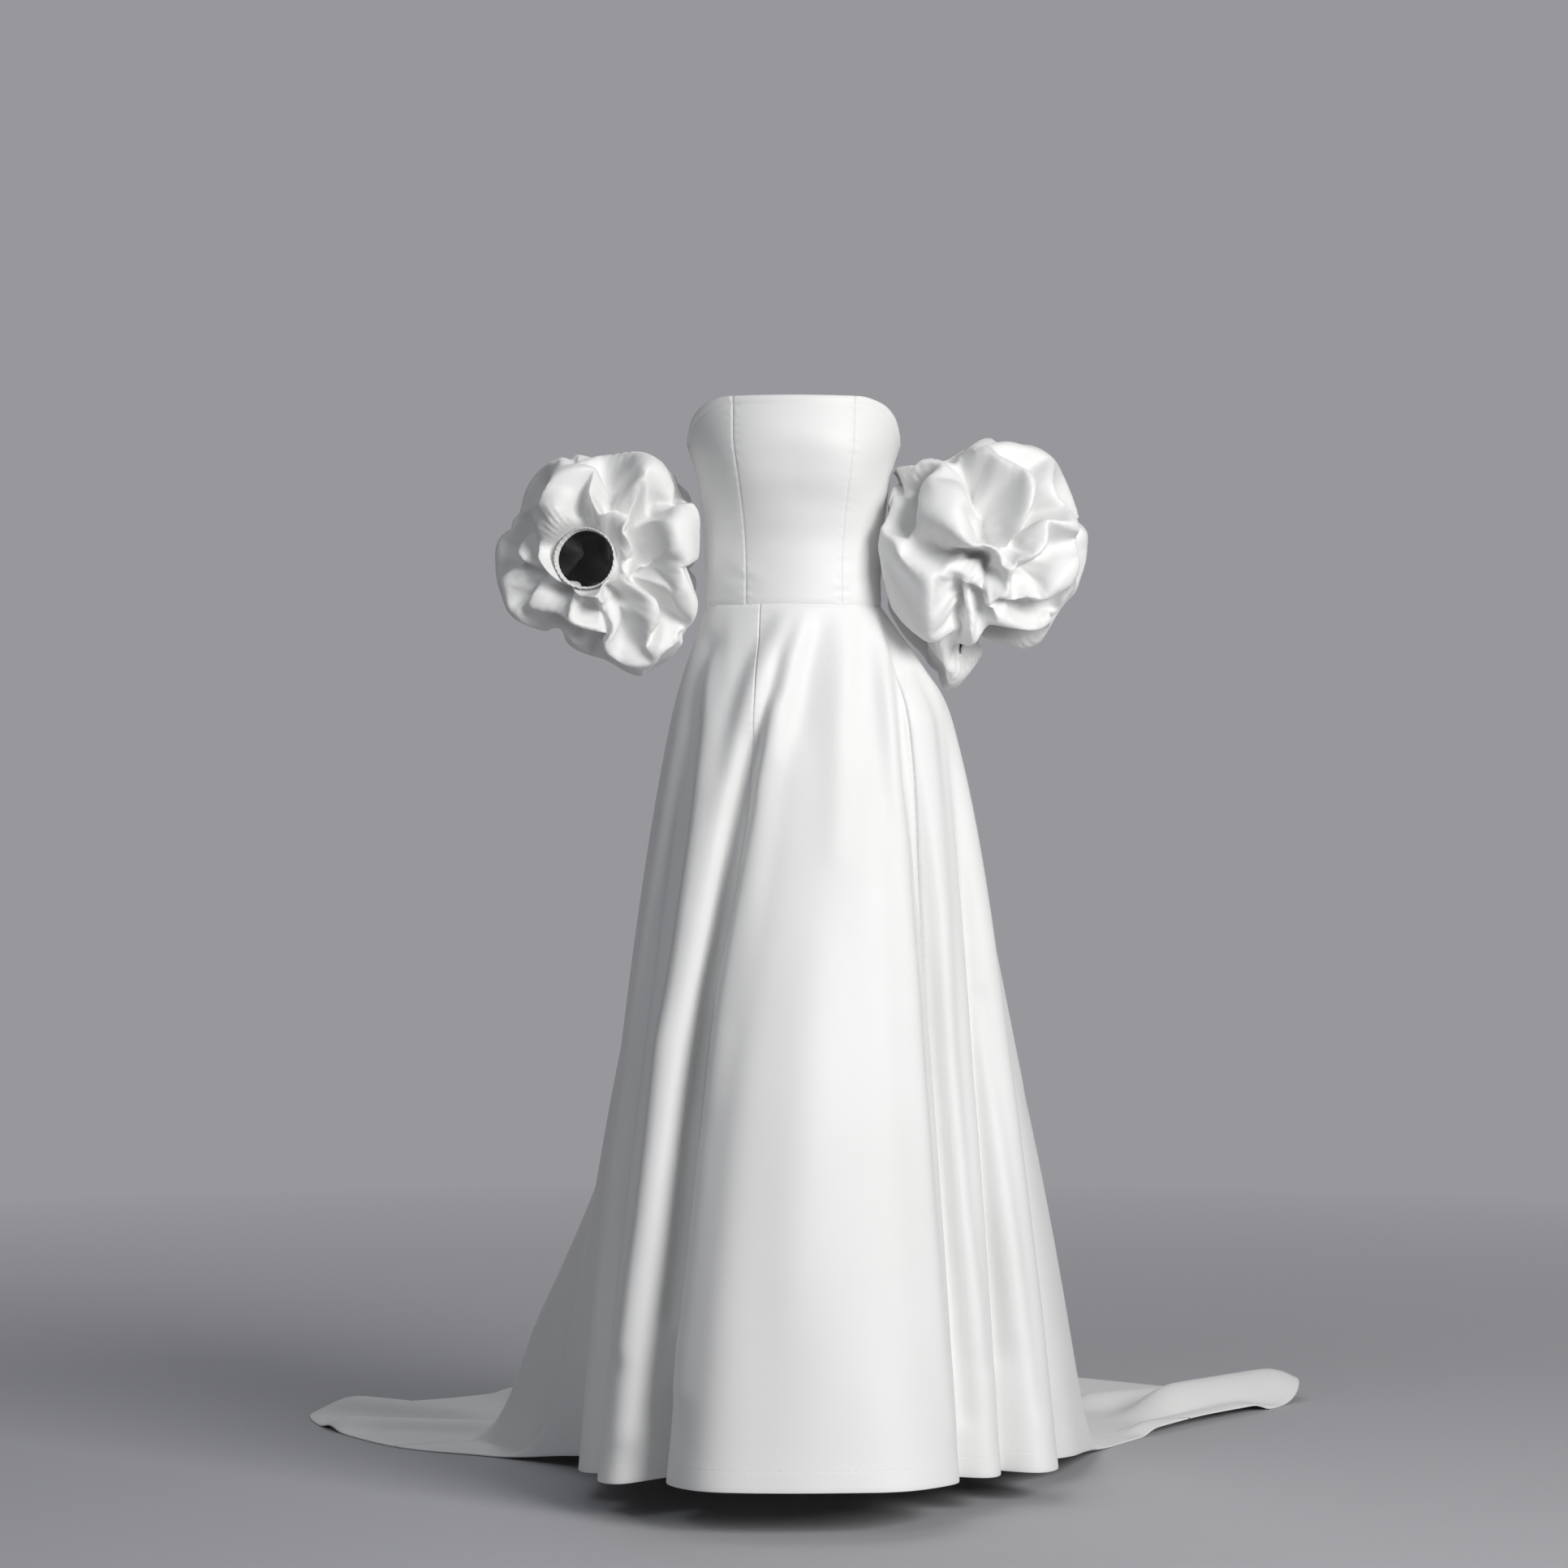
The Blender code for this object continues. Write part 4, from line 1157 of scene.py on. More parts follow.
    def surface(self) -> tuple[Array, Array, list[int]]:
        """Return the skirt's outside as one ring of columns, its normals, and the column at each line."""
        rings = np.array(
            [self.fold_points(line) for line in FOLD_LINES] + [self.train_points(line) for line in TRAIN_LINES]
        )
        places, starts = self.stations(rings)
        around = np.stack([round_curve(rings[:, step], places) for step in range(len(self.levels))])
        share = np.linspace(0.0, 1.0, self.rows)
        grid = np.stack([calm_curve(self.levels, around[:, i], share) for i in range(len(places))], axis=1)
        grid = smoothed(grid, 6, True)
        ground = FLOOR_Z + CLOTH
        grid[..., 2] = np.maximum(grid[..., 2], ground)
        flat = self.on_floor(grid)
        normals = ring_normals(grid)
        rise = np.zeros(grid.shape[:2])
        for fold in self.folds():
            steps = np.linspace(0.0, 1.0, 18)
            station = fold.start + (fold.end - fold.start) * steps
            path = self.spot(rings, station, fold.top + (fold.low - fold.top) * steps)
            rise += fold_relief(grid, path, fold.width, fold.height, fold.crest)
        facing = np.clip(-1.6 * normals[..., 1], 0.0, 1.0)
        lean = np.zeros(grid.shape[:2])
        for fold in FRONT_FOLDS:
            away, share = beside(grid[..., [0, 2]], np.array(fold.path))
            taper = np.sin(math.pi * np.clip(0.06 + 0.80 * share, 0.0, 1.0)) ** 0.6
            taper = facing * taper * np.exp(-((away / fold.width) ** 2))
            rise += fold.height * taper
            lean += fold.lean * taper
        down = lengths_along(grid, 0)
        free = 1 - np.exp(-((down / self.waist_hold) ** 2))
        rise, lean = rise * free, lean * free
        rise -= 0.0010 * np.exp(-((down / 0.004) ** 2))
        from_hem = down[-1:] - down
        rise += 0.0005 * (1 - np.clip((from_hem - self.hem_turn) / 0.004, 0.0, 1.0))
        grid = grid + normals * (rise * (1 - flat))[..., None]
        grid[..., 0] += lean
        grid[..., 2] += flat * self.lift(grid[..., 0], grid[..., 1])
        grid = smoothed(grid, 2, True)
        normals = ring_normals(grid)
        return grid, normals, starts

    def build(self) -> None:
        """Make every gore from one surface around the skirt, so that they share their seams."""
        grid, normals, starts = self.surface()
        flat = self.on_floor(grid)[..., None]
        normals = unit(normals * (1 - flat) + np.array([0.0, 0.0, 1.0]) * flat)
        total = grid.shape[1]
        down = lengths_along(grid, 0)
        hem = down[-1:] - down
        for name, first, last in self.gores:
            start, end = starts[self.names.index(first)], starts[self.names.index(last)]
            take = np.arange(start, end + 1 if end > start else end + total + 1) % total
            across = lengths_along(grid[:, take], 1)
            seam = np.minimum(across, across[:, -1:] - across)
            seam = np.minimum(seam, down[:, take])
            piece = Cloth(f"{name}_cloth", grid[:, take], normals[:, take], seam, hem[:, take], floor=FLOOR_Z)
            made = piece.build(self.wardrobe.satin, self.wardrobe.lining)
            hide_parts(name)
            self.pieces.append(made)

    def dress(self) -> None:
        for made in self.pieces:
            declare_sheet(made, ["bodice_front_cloth"])


# Sleeves


@dataclass(frozen=True)
class Tuck:
    """A line along which a puff is drawn in, as (x, z) places seen from the front around its middle."""

    face: Face
    depth: float
    path: tuple[tuple[float, float], ...]


@dataclass(frozen=True)
class Crumple:
    """How the puffs' cloth is simulated: spare cloth that buckles between the tacks."""

    spare: float = 0.70
    bending: float = 5.0
    stretch: float = 12.0
    shear: float = 4.0
    air: float = 2.0
    gravity: float = 0.05
    fullness: float = 2.0
    frames: int = 20
    gap: float = 0.003

    def settle(self, made: bpy.types.Object, held: Array, body: bpy.types.Object) -> Array:
        """Simulate a puff and return its points.

        Args:
            made: The puff's mesh, before it crumples.
            held: Numbers of the points that stay where they are.
            body: What the puff may not enter.

        Returns:
            The points of the crumpled puff, one a row.
        """
        group = made.vertex_groups.new(name="held")
        group.add([int(index) for index in held], 1.0, "REPLACE")
        wall = body.modifiers.new("wall", "COLLISION")
        body.collision.thickness_outer = self.gap
        cloth = made.modifiers.new("crumple", "CLOTH")
        settings = cloth.settings
        settings.quality = 6
        settings.mass = 0.15
        settings.tension_stiffness = settings.compression_stiffness = self.stretch
        settings.shear_stiffness = self.shear
        settings.bending_stiffness = self.bending
        settings.tension_damping = settings.compression_damping = settings.shear_damping = 8.0
        settings.air_damping = self.air
        settings.vertex_group_mass = "held"
        settings.shrink_min = -self.spare
        settings.use_pressure = True
        settings.uniform_pressure_force = self.fullness
        settings.effector_weights.gravity = self.gravity
        collision = cloth.collision_settings
        collision.use_collision = True
        collision.distance_min = self.gap
        collision.use_self_collision = True
        collision.self_distance_min = self.gap
        collision.collision_quality = 3
        for step in range(1, self.frames + 1):
            bpy.context.scene.frame_set(step)
        settled = made.evaluated_get(bpy.context.evaluated_depsgraph_get()).data
        points = np.empty(len(settled.vertices) * 3, np.float32)
        settled.vertices.foreach_get("co", points)
        made.modifiers.remove(cloth)
        body.modifiers.remove(wall)
        bpy.context.scene.frame_set(1)
        return points.reshape(-1, 3).astype(float)


CRUMPLE = Crumple()


@dataclass
class PuffSleeve:
    """A full, crumpled puff sleeve, gathered at the upper arm and at a short cuff."""

    wardrobe: Wardrobe
    bodice: Bodice
    skirt: Skirt
    hand: Hand
    centre: Point
    depth: float
    top_dir: Point
    top_angle: float
    low_dir: Point
    low_angle: float
    reach: tuple[tuple[float, float], ...]
    tucks: tuple[Tuck, ...]
    slack: float = 0.86
    rounds: int = 5
    edge_blend: float = 0.35
    turn_in_top: float = 0.05
    turn_in_low: float = 0.11
    turn_width: float = 0.20
    tuck_width: float = 0.020
    tuck_hold: float = 0.005
    tuck_scale: float = 1.6
    recess: float = 0.038
    recess_reach: float = 0.22
    evening: int = 1
    calm_reach: float = 0.30
    calm_passes: int = 3
    most_reach: float = 1.07
    gather_pitch: float = 0.0062
    gather_depth: float = 0.0011
    gather_fade: float = 0.020
    body_clearance: float = 0.0035
    hip_ease: float = 0.012
    cuff_length: float = 0.011
    cloth: float = 0.0014
    kept: float = 0.80
    settle_with: Crumple = CRUMPLE

    @property
    def name(self) -> str:
        """The node that the sleeve stands for."""
        return f"sleeve_{self.hand.name.lower()}"

    def from_openings(self, ways: Array) -> tuple[Array, Array]:
        """Return how far directions lie from the rims of the upper and the lower opening, in radians."""
        top = np.arccos(np.clip(ways @ unit(self.top_dir), -1, 1)) - math.radians(self.top_angle)
        low = np.arccos(np.clip(ways @ unit(self.low_dir), -1, 1)) - math.radians(self.low_angle)
        return top, low

    def ball(self) -> tuple[Array, list[tuple[int, ...]], Array]:
        """Return directions spread evenly over the puff, the faces between them, and the rims' points."""
        mesh = bmesh.new()
        bmesh.ops.create_icosphere(mesh, subdivisions=self.rounds, radius=1.0)
        ways = np.array([point.co[:] for point in mesh.verts])
        top, low = self.from_openings(ways)
        mesh.verts.ensure_lookup_table()
        gone = [mesh.verts[index] for index in np.flatnonzero((top < 0) | (low < 0))]
        bmesh.ops.delete(mesh, geom=gone, context="VERTS")
        mesh.verts.ensure_lookup_table()
        mesh.verts.index_update()
        ways = np.array([point.co[:] for point in mesh.verts])
        rim = np.array([point.is_boundary for point in mesh.verts])
        faces = [tuple(point.index for point in face.verts) for face in mesh.faces]
        mesh.free()
        top, low = self.from_openings(ways)
        for axis, angle, near in (
            (self.top_dir, self.top_angle, rim & (top < low)),
            (self.low_dir, self.low_angle, rim & (top >= low)),
        ):
            axis = unit(axis)
            side = unit(ways[near] - (ways[near] @ axis)[:, None] * axis)
            ways[near] = axis * math.cos(math.radians(angle)) + side * math.sin(math.radians(angle))
        return ways, faces, rim

    def outline(self, ways: Array) -> Array:
        """Return the puff's plain reach along directions from its middle."""
        clock = np.degrees(np.arctan2(ways[..., 2], ways[..., 0])) % 360
        keys = [row[0] for row in self.reach] + [360 + self.reach[0][0]]
        values = np.array([row[1] for row in self.reach] + [self.reach[0][1]])
        seen = calm_curve(keys, values, clock)
        aside = np.hypot(ways[..., 0], ways[..., 2])
        reach = np.sqrt((seen * aside) ** 2 + (self.depth * ways[..., 1]) ** 2)
        top, low = self.from_openings(ways)
        reach *= 1 - self.turn_in_top * np.exp(-((top / self.turn_width) ** 2))
        return reach * (1 - self.turn_in_low * np.exp(-((low / self.turn_width) ** 2)))

    def clear_of_body(self, points: Array) -> Array:
        """Move points that would lie in the bodice or the hips out to just beside them."""
        x, y, z = points[..., 0], points[..., 1], points[..., 2]
        keys = [ring.z for ring in self.bodice.rings]
        sizes = np.array([(ring.side, ring.front, ring.back) for ring in self.bodice.rings])
        read = calm_curve(keys, sizes, np.maximum(z, 0.0))
        skirt = self.skirt
        side = np.where(x < 0, skirt.hip_left, skirt.hip_right)
        hip = np.stack([side, np.full_like(z, skirt.hip_front), np.full_like(z, skirt.hip_back)], axis=-1)
        read = read + (hip - read) * np.clip(z / skirt.hip_z, 0.0, 1.6)[..., None]
        depth = np.where(y < 0, read[..., 1], read[..., 2])
        ease = self.body_clearance + self.hip_ease * np.clip(z / skirt.hip_z, 0.0, 1.0)
        inside = np.hypot(x / (read[..., 0] + ease), y / (depth + ease))
        push = np.where(inside < 1, 1 / np.maximum(inside, 0.2), 1.0)
        return np.stack([x * push, y * push, z], axis=-1)

    def body(self) -> bpy.types.Object:
        """Return a plain form of the bodice and hips, for the puff to lie against."""
        angles, heights = np.linspace(0, 360, 48, endpoint=False), np.linspace(0.24, -0.20, 23)
        turn = np.radians(angles)[None, :]
        small = np.stack([np.sin(turn) + 0 * heights[:, None], -np.cos(turn) + 0 * heights[:, None]], axis=-1) * 0.03
        grid = np.concatenate([small, np.broadcast_to(heights[:, None, None], small.shape[:2] + (1,))], axis=-1)
        grid = self.clear_of_body(grid)
        count = len(angles)
        faces = [
            (row * count + at, (row + 1) * count + at, (row + 1) * count + (at + 1) % count, row * count + (at + 1) % count)
            for row in range(len(heights) - 1)
            for at in range(count)
        ]
        return make_mesh("body_form", grid.reshape(-1, 3), faces, self.wardrobe.lining)

    def drawn_in(self, ways: Array, points: Array) -> tuple[Array, Array]:
        """Pull the puff in along its tucks.

        Args:
            ways: Directions of the points from the puff's middle.
            points: The puff's points.

        Returns:
            The moved points, and which of them a tuck holds.
        """
        mean = float(np.mean([row[1] for row in self.reach]))
        inside = np.clip(np.minimum(*self.from_openings(ways)) / 0.25, 0.0, 1.0)
        held = np.zeros(len(ways), bool)
        dent = np.zeros(len(ways))
        for tuck in self.tucks:
            line = np.array([(x, tuck.face.value * math.sqrt(max(mean**2 - x**2 - z**2, 0.0)), z) for x, z in tuck.path])
            away, share = beside(ways, unit(line))
            away = away * mean
            deep = self.tuck_scale * tuck.depth * (0.55 + 0.45 * np.sin(math.pi * share))
            dent = np.maximum(dent, deep * np.exp(-((away / self.tuck_width) ** 2)))
            held |= away < self.tuck_hold
        return points - ways * (dent * inside)[:, None], held

    def fitted(self, points: Array) -> Array:
        """Stretch a crumpled puff so that, seen from the front, it fills its outline again."""
        local = points - np.array(self.centre)
        clock = np.degrees(np.arctan2(local[:, 2], local[:, 0])) % 360
        aside = np.hypot(local[:, 0], local[:, 2])
        sectors = np.arange(0, 360, 5)
        edge = np.array([aside[np.abs((clock - at + 180) % 360 - 180) < 7.5].max() for at in sectors])
        edge = sum(np.roll(edge, shift) for shift in (-2, -1, 0, 1, 2)) / 5
        keys = [row[0] for row in self.reach] + [360 + self.reach[0][0]]
        aim = calm_curve(keys, np.array([row[1] for row in self.reach] + [self.reach[0][1]]), sectors.astype(float))
        ratio = np.clip(aim / edge, 0.8, 1.3)
        places = np.append(sectors, 360)
        near = np.interp(clock, places, np.append(edge, edge[0]))
        grow = np.interp(clock, places, np.append(ratio, ratio[0]))
        scale = 1 + (grow - 1) * np.clip(aside / near, 0.0, 1.0) ** 2
        return np.array(self.centre) + local * np.stack([scale, np.ones_like(scale), scale], axis=-1)

    def gathered(self, made: bpy.types.Object) -> None:
        """Add fine gathers near both openings of a finished puff's mesh."""
        mesh = made.data
        count = len(mesh.vertices)
        points, normals = np.empty(count * 3, np.float32), np.empty(count * 3, np.float32)
        mesh.vertices.foreach_get("co", points)
        mesh.vertices.foreach_get("normal", normals)
        points, normals = points.reshape(-1, 3).astype(float), normals.reshape(-1, 3)
        rise = np.zeros(count)
        for axis, angle in ((self.top_dir, self.top_angle), (self.low_dir, self.low_angle)):
            axis = unit(axis)
            local = points - np.array(self.centre)
            side = unit(np.cross(axis, (0.3, 0.5, 0.8)))
            turn = np.arctan2(local @ np.cross(axis, side), local @ side)
            reach = float(np.mean([row[1] for row in self.reach]))
            ring = reach * math.sin(math.radians(angle))
            waves = round(2 * math.pi * ring / self.gather_pitch)
            rim = axis * reach * math.cos(math.radians(angle)) * 0.93
            away = np.linalg.norm(local - rim - unit(local - rim - axis * ((local - rim) @ axis)[:, None]) * ring, axis=1)
            waver = waves * turn + 1.4 * np.sin(3 * turn + 0.7) + 0.8 * np.sin(7 * turn)
            rise += self.gather_depth * np.cos(waver) * np.exp(-((away / self.gather_fade) ** 2))
        mesh.vertices.foreach_set("co", (points + normals * rise[:, None]).astype(np.float32).ravel())
        mesh.update()

    def bands_at(self) -> list[tuple[str, Array, float, float, float]]:
        """Return each opening's name, its axis, its half angle, its recess and the way its band runs."""
        return [
            ("cuff", unit(self.low_dir), math.radians(self.low_angle), self.recess, 1.0),
            ("armband", unit(self.top_dir), math.radians(self.top_angle), 0.0, -1.0),
        ]

    def band(self) -> None:
        """Make the short gathered bands at the lower opening and inside the upper one."""
        for place, axis, angle, recess, way in self.bands_at():
            side = unit(np.cross(axis, (0.0, 0.0, 1.0) if abs(axis[2]) < 0.9 else (0.0, 1.0, 0.0)))
            spin = np.linspace(0.0, 2 * math.pi, 240, endpoint=False)
            ways = axis * math.cos(angle) + math.sin(angle) * (
                np.cos(spin)[:, None] * side + np.sin(spin)[:, None] * np.cross(side, axis)
            )
            rim = self.clear_of_body(np.array(self.centre) + ways * self.outline(ways)[:, None] - axis * recess)
            middle = rim.mean(axis=0)
            waves = round(2 * math.pi * float(np.linalg.norm(rim - middle, axis=1).mean()) / self.gather_pitch)
            waver = waves * spin + 2.1 * np.sin(3 * spin + 0.4) + 1.1 * np.sin(7 * spin)
            rows = []
            for share in np.linspace(0.0, 1.0, 9):
                pinch = 1 - 0.06 * math.sin(math.pi * min(share * 1.6, 1.0)) - 0.03 * (way < 0)
                ripple = 1 + 0.013 * (0.15 + 0.85 * share) * np.cos(waver + 0.8 * share)
                uneven = 1 + 0.12 * np.sin(2 * spin + 1.0) * share
                rows.append(middle + (rim - middle) * (pinch * ripple)[:, None] + (
                    axis * way * self.cuff_length * share * uneven[:, None]
                ))
            grid = np.array(rows if way < 0 else rows[::-1])
            normals = ring_normals(grid)
            if ((grid - middle) * normals).sum() < 0:
                grid = grid[:, ::-1]
                normals = ring_normals(grid)
            far = np.full(grid.shape[:2], 1.0)
            piece = Cloth(f"{self.name}_{place}", grid, normals, far, far, wraps=True, thickness=0.0010)
            made = piece.build(self.wardrobe.satin, self.wardrobe.lining)
            self.bands.append(made)

    def build(self) -> None:
        """Make the sleeve."""
        self.bands: list[bpy.types.Object] = []
        ways, faces, rim = self.ball()
        plain = self.outline(ways)
        inside = np.clip(np.minimum(*self.from_openings(ways)) / self.edge_blend, 0.0, 1.0)
        points = np.array(self.centre) + ways * (plain * (1 - (1 - self.slack) * inside))[:, None]
        low = np.clip(self.from_openings(ways)[1] / self.recess_reach, 0.0, 1.0)
        points -= unit(self.low_dir) * (self.recess * (1 - low * low * (3 - 2 * low)))[:, None]
        points, held = self.drawn_in(ways, points)
        points = self.clear_of_body(points)
        made = make_mesh(f"{self.name}_cloth", points, faces, self.wardrobe.satin)
        body = self.body()
        points = self.settle_with.settle(made, np.flatnonzero(held | rim), body)
        bpy.data.objects.remove(body)
        local = points - np.array(self.centre)
        reach = np.linalg.norm(local, axis=1)
        most = self.outline(unit(local)) * self.most_reach
        over = np.maximum(reach - most, 0.0)
        reach = np.where(over > 0, most + 0.008 * np.tanh(over / 0.008), reach)
        points = self.fitted(np.array(self.centre) + unit(local) * reach[:, None])
        points = evened(points, faces, rim, self.evening)
        away = self.from_openings(ways)[1] > self.calm_reach
        points = self.clear_of_body(evened(points, faces, rim | away, self.calm_passes))
        made.data.vertices.foreach_set("co", points.astype(np.float32).ravel())
        made.vertex_groups.clear()
        made.data.materials.append(self.wardrobe.lining)
        self.finish(made, [("round", "SUBSURF", {"levels": 2, "render_levels": 2})])
        self.gathered(made)
        wall = {"thickness": self.cloth, "offset": -1.0, "material_offset": 1, "material_offset_rim": 0}
        self.finish(made, [("wall", "SOLIDIFY", wall), ("lighter", "DECIMATE", {"ratio": self.kept})])
        self.mark(made)
        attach(made, "root")
        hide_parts(self.name)
        self.piece = made
        self.band()

    def finish(self, made: bpy.types.Object, steps: list[tuple[str, str, dict]]) -> None:
        """Add modifiers to a piece and apply them.

        Args:
            made: The piece.
            steps: Each modifier's name, type and settings.
        """
        for name, kind, settings in steps:
            modifier = made.modifiers.new(name, kind)
            for key, value in settings.items():
                setattr(modifier, key, value)
        ready = made.evaluated_get(bpy.context.evaluated_depsgraph_get())
        mesh = bpy.data.meshes.new_from_object(ready)
        made.modifiers.clear()
        made.data = mesh
        mesh.shade_smooth()

    def mark(self, made: bpy.types.Object) -> None:
        """Write the sleeve's flat map and its plain seam and hem distances."""
        mesh = made.data
        points = np.empty(len(mesh.vertices) * 3, np.float32)
        mesh.vertices.foreach_get("co", points)
        ways = unit(points.reshape(-1, 3) - np.array(self.centre))
        mean = float(np.mean([row[1] for row in self.reach]))
        top = unit(self.top_dir)
        side = unit(np.cross(top, self.low_dir))
        turn = np.arctan2(ways @ side, ways @ np.cross(side, top))
        flat = np.stack([turn * mean, np.arccos(np.clip(ways @ top, -1, 1)) * mean], axis=-1)
        corners = np.empty(len(mesh.loops), np.int32)
        mesh.loops.foreach_get("vertex_index", corners)
        layer = mesh.uv_layers.new(name="cloth")
        layer.uv.foreach_set("vector", flat[corners].astype(np.float32).ravel())
        for name in ("seam", "hem"):
            found = mesh.attributes.new(name, "FLOAT", "POINT")
            found.data.foreach_set("value", np.ones(len(mesh.vertices), np.float32))

    def dress(self) -> None:
        beside_it = f"bodice_side_front_{self.hand.name.lower()}_cloth"
        for band in self.bands:
            self.piece.name


RIGHT_REACH = (
    (0, 0.126), (30, 0.140), (60, 0.150), (90, 0.139), (120, 0.141), (150, 0.131), (180, 0.137),
    (210, 0.130), (240, 0.110), (270, 0.121), (290, 0.146), (315, 0.148), (340, 0.134),
)
LEFT_REACH = (
    (0, 0.135), (30, 0.142), (60, 0.155), (85, 0.152), (110, 0.139), (135, 0.155), (165, 0.137),
    (200, 0.131), (235, 0.142), (254, 0.172), (280, 0.112), (300, 0.132), (330, 0.123),
)
RIGHT_TUCKS = (
    Tuck(Face.FRONT, 0.040, ((-0.030, 0.088), (-0.024, 0.062), (-0.050, 0.040), (-0.072, 0.036))),
    Tuck(Face.FRONT, 0.034, ((-0.020, 0.060), (0.022, 0.046), (0.046, 0.024))),
    Tuck(Face.FRONT, 0.034, ((0.084, 0.106), (0.070, 0.060), (0.082, 0.026), (0.064, -0.002), (0.052, -0.044))),
    Tuck(Face.FRONT, 0.040, ((0.022, 0.014), (0.036, -0.010), (0.024, -0.056), (0.044, -0.104))),
    Tuck(Face.FRONT, 0.030, ((0.098, -0.004), (0.078, -0.036), (0.092, -0.070))),
    Tuck(Face.FRONT, 0.038, ((-0.098, -0.036), (-0.078, -0.066), (-0.054, -0.036))),
    Tuck(Face.FRONT, 0.026, ((-0.040, -0.070), (0.000, -0.096))),
    Tuck(Face.FRONT, 0.020, ((-0.112, 0.050), (-0.100, 0.010))),
    Tuck(Face.FRONT, 0.024, ((-0.128, 0.000), (-0.108, -0.020), (-0.112, -0.050))),
    Tuck(Face.FRONT, 0.024, ((-0.090, -0.092), (-0.062, -0.108), (-0.030, -0.122))),
    Tuck(Face.FRONT, 0.024, ((0.030, -0.062), (0.010, -0.100))),
    Tuck(Face.FRONT, 0.026, ((0.020, 0.118), (0.030, 0.090), (0.056, 0.070))),
    Tuck(Face.FRONT, 0.026, ((-0.096, 0.088), (-0.124, 0.046), (-0.131, 0.004))),
    Tuck(Face.BACK, 0.028, ((-0.128, -0.010), (-0.122, -0.046), (-0.102, -0.074))),
    Tuck(Face.BACK, 0.024, ((-0.120, 0.040), (-0.108, 0.010), (-0.124, -0.020))),
    Tuck(Face.BACK, 0.034, ((-0.090, 0.070), (-0.060, 0.030), (-0.080, -0.020))),
    Tuck(Face.BACK, 0.036, ((0.000, 0.090), (0.030, 0.040), (0.010, 0.000))),
    Tuck(Face.BACK, 0.032, ((0.080, 0.060), (0.070, 0.000), (0.090, -0.040))),
    Tuck(Face.BACK, 0.036, ((-0.060, -0.060), (-0.010, -0.050), (0.020, -0.090))),
    Tuck(Face.BACK, 0.024, ((-0.040, 0.100), (-0.030, 0.070))),
)
LEFT_TUCKS = (
    Tuck(Face.FRONT, 0.030, ((-0.106, 0.112), (-0.096, 0.076), (-0.098, 0.050))),
    Tuck(Face.FRONT, 0.040, ((-0.030, 0.120), (-0.004, 0.094), (0.006, 0.040), (0.034, 0.004))),
    Tuck(Face.FRONT, 0.034, ((0.060, 0.110), (0.080, 0.080), (0.060, 0.046), (0.044, 0.014))),
    Tuck(Face.FRONT, 0.044, ((-0.076, 0.012), (-0.046, -0.004), (-0.020, -0.008), (0.014, -0.042))),
    Tuck(Face.FRONT, 0.030, ((0.050, -0.034), (0.080, -0.026), (0.106, 0.010))),
    Tuck(Face.FRONT, 0.034, ((-0.050, -0.044), (-0.046, -0.090), (-0.040, -0.130))),
    Tuck(Face.FRONT, 0.028, ((-0.018, -0.050), (-0.012, -0.100))),
    Tuck(Face.FRONT, 0.024, ((0.040, -0.070), (0.090, -0.080))),
    Tuck(Face.FRONT, 0.026, ((0.112, 0.078), (0.132, 0.036), (0.136, -0.006))),
    Tuck(Face.BACK, 0.028, ((0.130, 0.000), (0.126, -0.044), (0.104, -0.078))),
    Tuck(Face.BACK, 0.024, ((0.118, 0.062), (0.112, 0.020), (0.128, -0.014))),
    Tuck(Face.BACK, 0.034, ((-0.080, 0.060), (-0.050, 0.020), (-0.080, -0.030))),
    Tuck(Face.BACK, 0.036, ((0.010, 0.100), (0.020, 0.050), (-0.010, 0.000))),
    Tuck(Face.BACK, 0.032, ((0.090, 0.070), (0.070, 0.010), (0.090, -0.040))),
    Tuck(Face.BACK, 0.036, ((0.060, -0.070), (0.010, -0.050), (-0.030, -0.090))),
    Tuck(Face.BACK, 0.024, ((0.050, 0.120), (0.050, 0.080))),
)


def make_sleeves(wardrobe: Wardrobe, bodice: Bodice, skirt: Skirt) -> list[PuffSleeve]:
    """Return both sleeves, each in its place and pose."""
    right = PuffSleeve(
        wardrobe, bodice, skirt, Hand.RIGHT, (-0.236, -0.004, 0.052), 0.124, (0.053, 0.020, 0.134), 19.0,
        (-0.030, -0.130, 0.004), 19.5, RIGHT_REACH, RIGHT_TUCKS,
    )
    left = PuffSleeve(
        wardrobe, bodice, skirt, Hand.LEFT, (0.232, 0.000, 0.057), 0.128, (-0.066, 0.010, 0.130), 19.0,
        (0.016, -0.016, -0.115), 17.0, LEFT_REACH, LEFT_TUCKS,
    )
    return [right, left]


# Studio


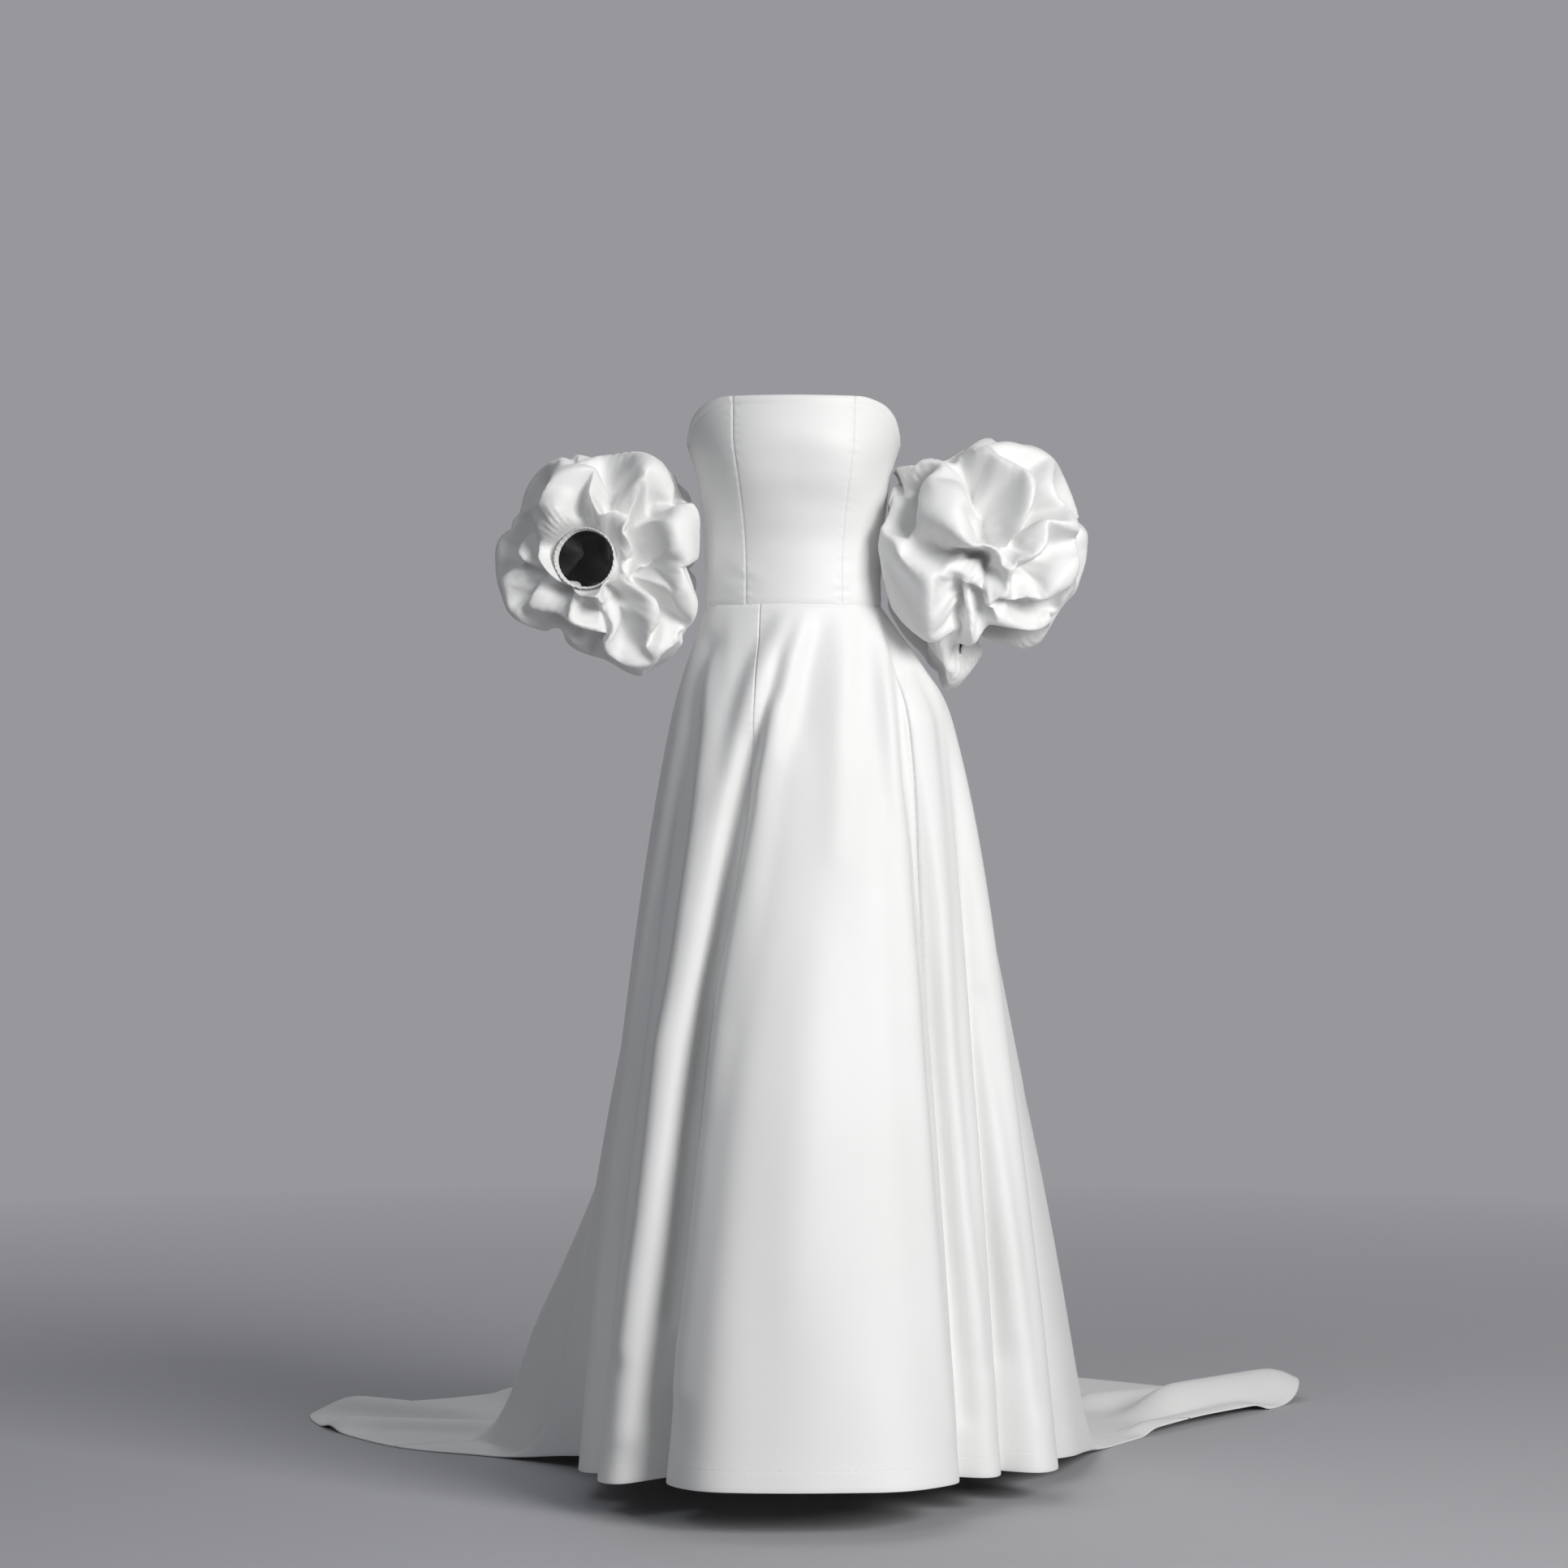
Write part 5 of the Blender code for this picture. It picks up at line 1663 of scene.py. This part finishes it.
@dataclass
class Studio:
    """The floor, the soft lights and the camera."""

    wardrobe: Wardrobe
    camera_place: Point = (-0.012, -5.2, -0.219)
    lens: float = 96.9
    floor_size: float = 16.0
    backdrop: Colour = (0.314, 0.310, 0.332, 1.0)
    room_colour: Colour = (0.13, 0.13, 0.139, 1.0)
    wall_reach: tuple[float, float] = (0.55, 0.93)

    def build(self) -> None:
        """Make the floor, the lights, the backdrop's colour and the camera."""
        half = self.floor_size / 2
        corners = [(-half, -half, 0), (half, -half, 0), (half, half, 0), (-half, half, 0)]
        floor = make_mesh("studio_floor", np.array(corners), [(0, 1, 2, 3)], self.wardrobe.paper)
        floor.location = (0.0, 0.0, FLOOR_Z - 0.0003)
        floor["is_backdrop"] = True
        self.light("key_light", (3.2, -4.0, 1.6), 2.6, 252.0, (1.0, 0.995, 0.985))
        self.light("fill_light", (-1.6, -4.0, 3.0), 2.0, 32.0, (0.90, 0.95, 1.0))
        self.light("rim_light", (-0.4, 3.6, 2.2), 2.4, 26.0, (0.96, 0.98, 1.0))
        self.room()
        bpy.context.scene.view_settings.view_transform = "Standard"
        data = bpy.data.cameras.new("photo_camera")
        data.lens = self.lens
        camera = bpy.data.objects.new("photo_camera", data)
        camera.location = self.camera_place
        camera.rotation_euler = (math.pi / 2, 0.0, 0.0)
        bpy.context.scene.collection.objects.link(camera)
        bpy.context.scene.camera = camera

    def room(self) -> None:
        """Make the room's light: a grey wall far behind the dress, and a dimmer room around it."""
        world = bpy.data.worlds.new("studio_world")
        world.use_nodes = True
        tree = world.node_tree
        place = tree.nodes.new("ShaderNodeTexCoord")
        parts = tree.nodes.new("ShaderNodeSeparateXYZ")
        spread = tree.nodes.new("ShaderNodeMapRange")
        mixed = tree.nodes.new("ShaderNodeMix")
        mixed.data_type = "RGBA"
        spread.inputs["From Min"].default_value, spread.inputs["From Max"].default_value = self.wall_reach
        mixed.inputs[6].default_value, mixed.inputs[7].default_value = self.room_colour, self.backdrop
        tree.links.new(place.outputs["Generated"], parts.inputs[0])
        tree.links.new(parts.outputs["Y"], spread.inputs["Value"])
        tree.links.new(spread.outputs[0], mixed.inputs["Factor"])
        tree.links.new(mixed.outputs[2], tree.nodes["Background"].inputs["Color"])
        bpy.context.scene.world = world

    def light(self, name: str, place: Point, size: float, power: float, colour: tuple) -> None:
        """Add a square soft light that faces the middle of the dress.

        Args:
            name: The light's name.
            place: Where it stands.
            size: Its side.
            power: Its power in watts.
            colour: Its colour.
        """
        data = bpy.data.lights.new(name, "AREA")
        data.size, data.energy, data.color = size, power, colour
        lamp = bpy.data.objects.new(name, data)
        lamp.location = place
        aim = Vector((0.0, 0.1, -0.4)) - Vector(place)
        lamp.rotation_euler = aim.to_track_quat("-Z", "Y").to_euler()
        bpy.context.scene.collection.objects.link(lamp)


def main() -> None:
    """Build the dress and its studio, and report each piece."""
    logging.basicConfig(level=logging.INFO, format="%(message)s")
    wardrobe = Wardrobe()
    studio = Studio(wardrobe)
    studio.build()
    bodice = Bodice(wardrobe)
    skirt = Skirt(wardrobe, bodice)
    right, left = make_sleeves(wardrobe, bodice, skirt)
    parts = (bodice, skirt, right, left)
    for part in (*parts, BackZip(wardrobe, bodice)):
        part.build()
    for part in parts:
        part.dress()
    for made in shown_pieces():
        LOG.info("%s: %d faces", made.name, len(made.data.polygons))


if __name__ == "__main__":
    main()
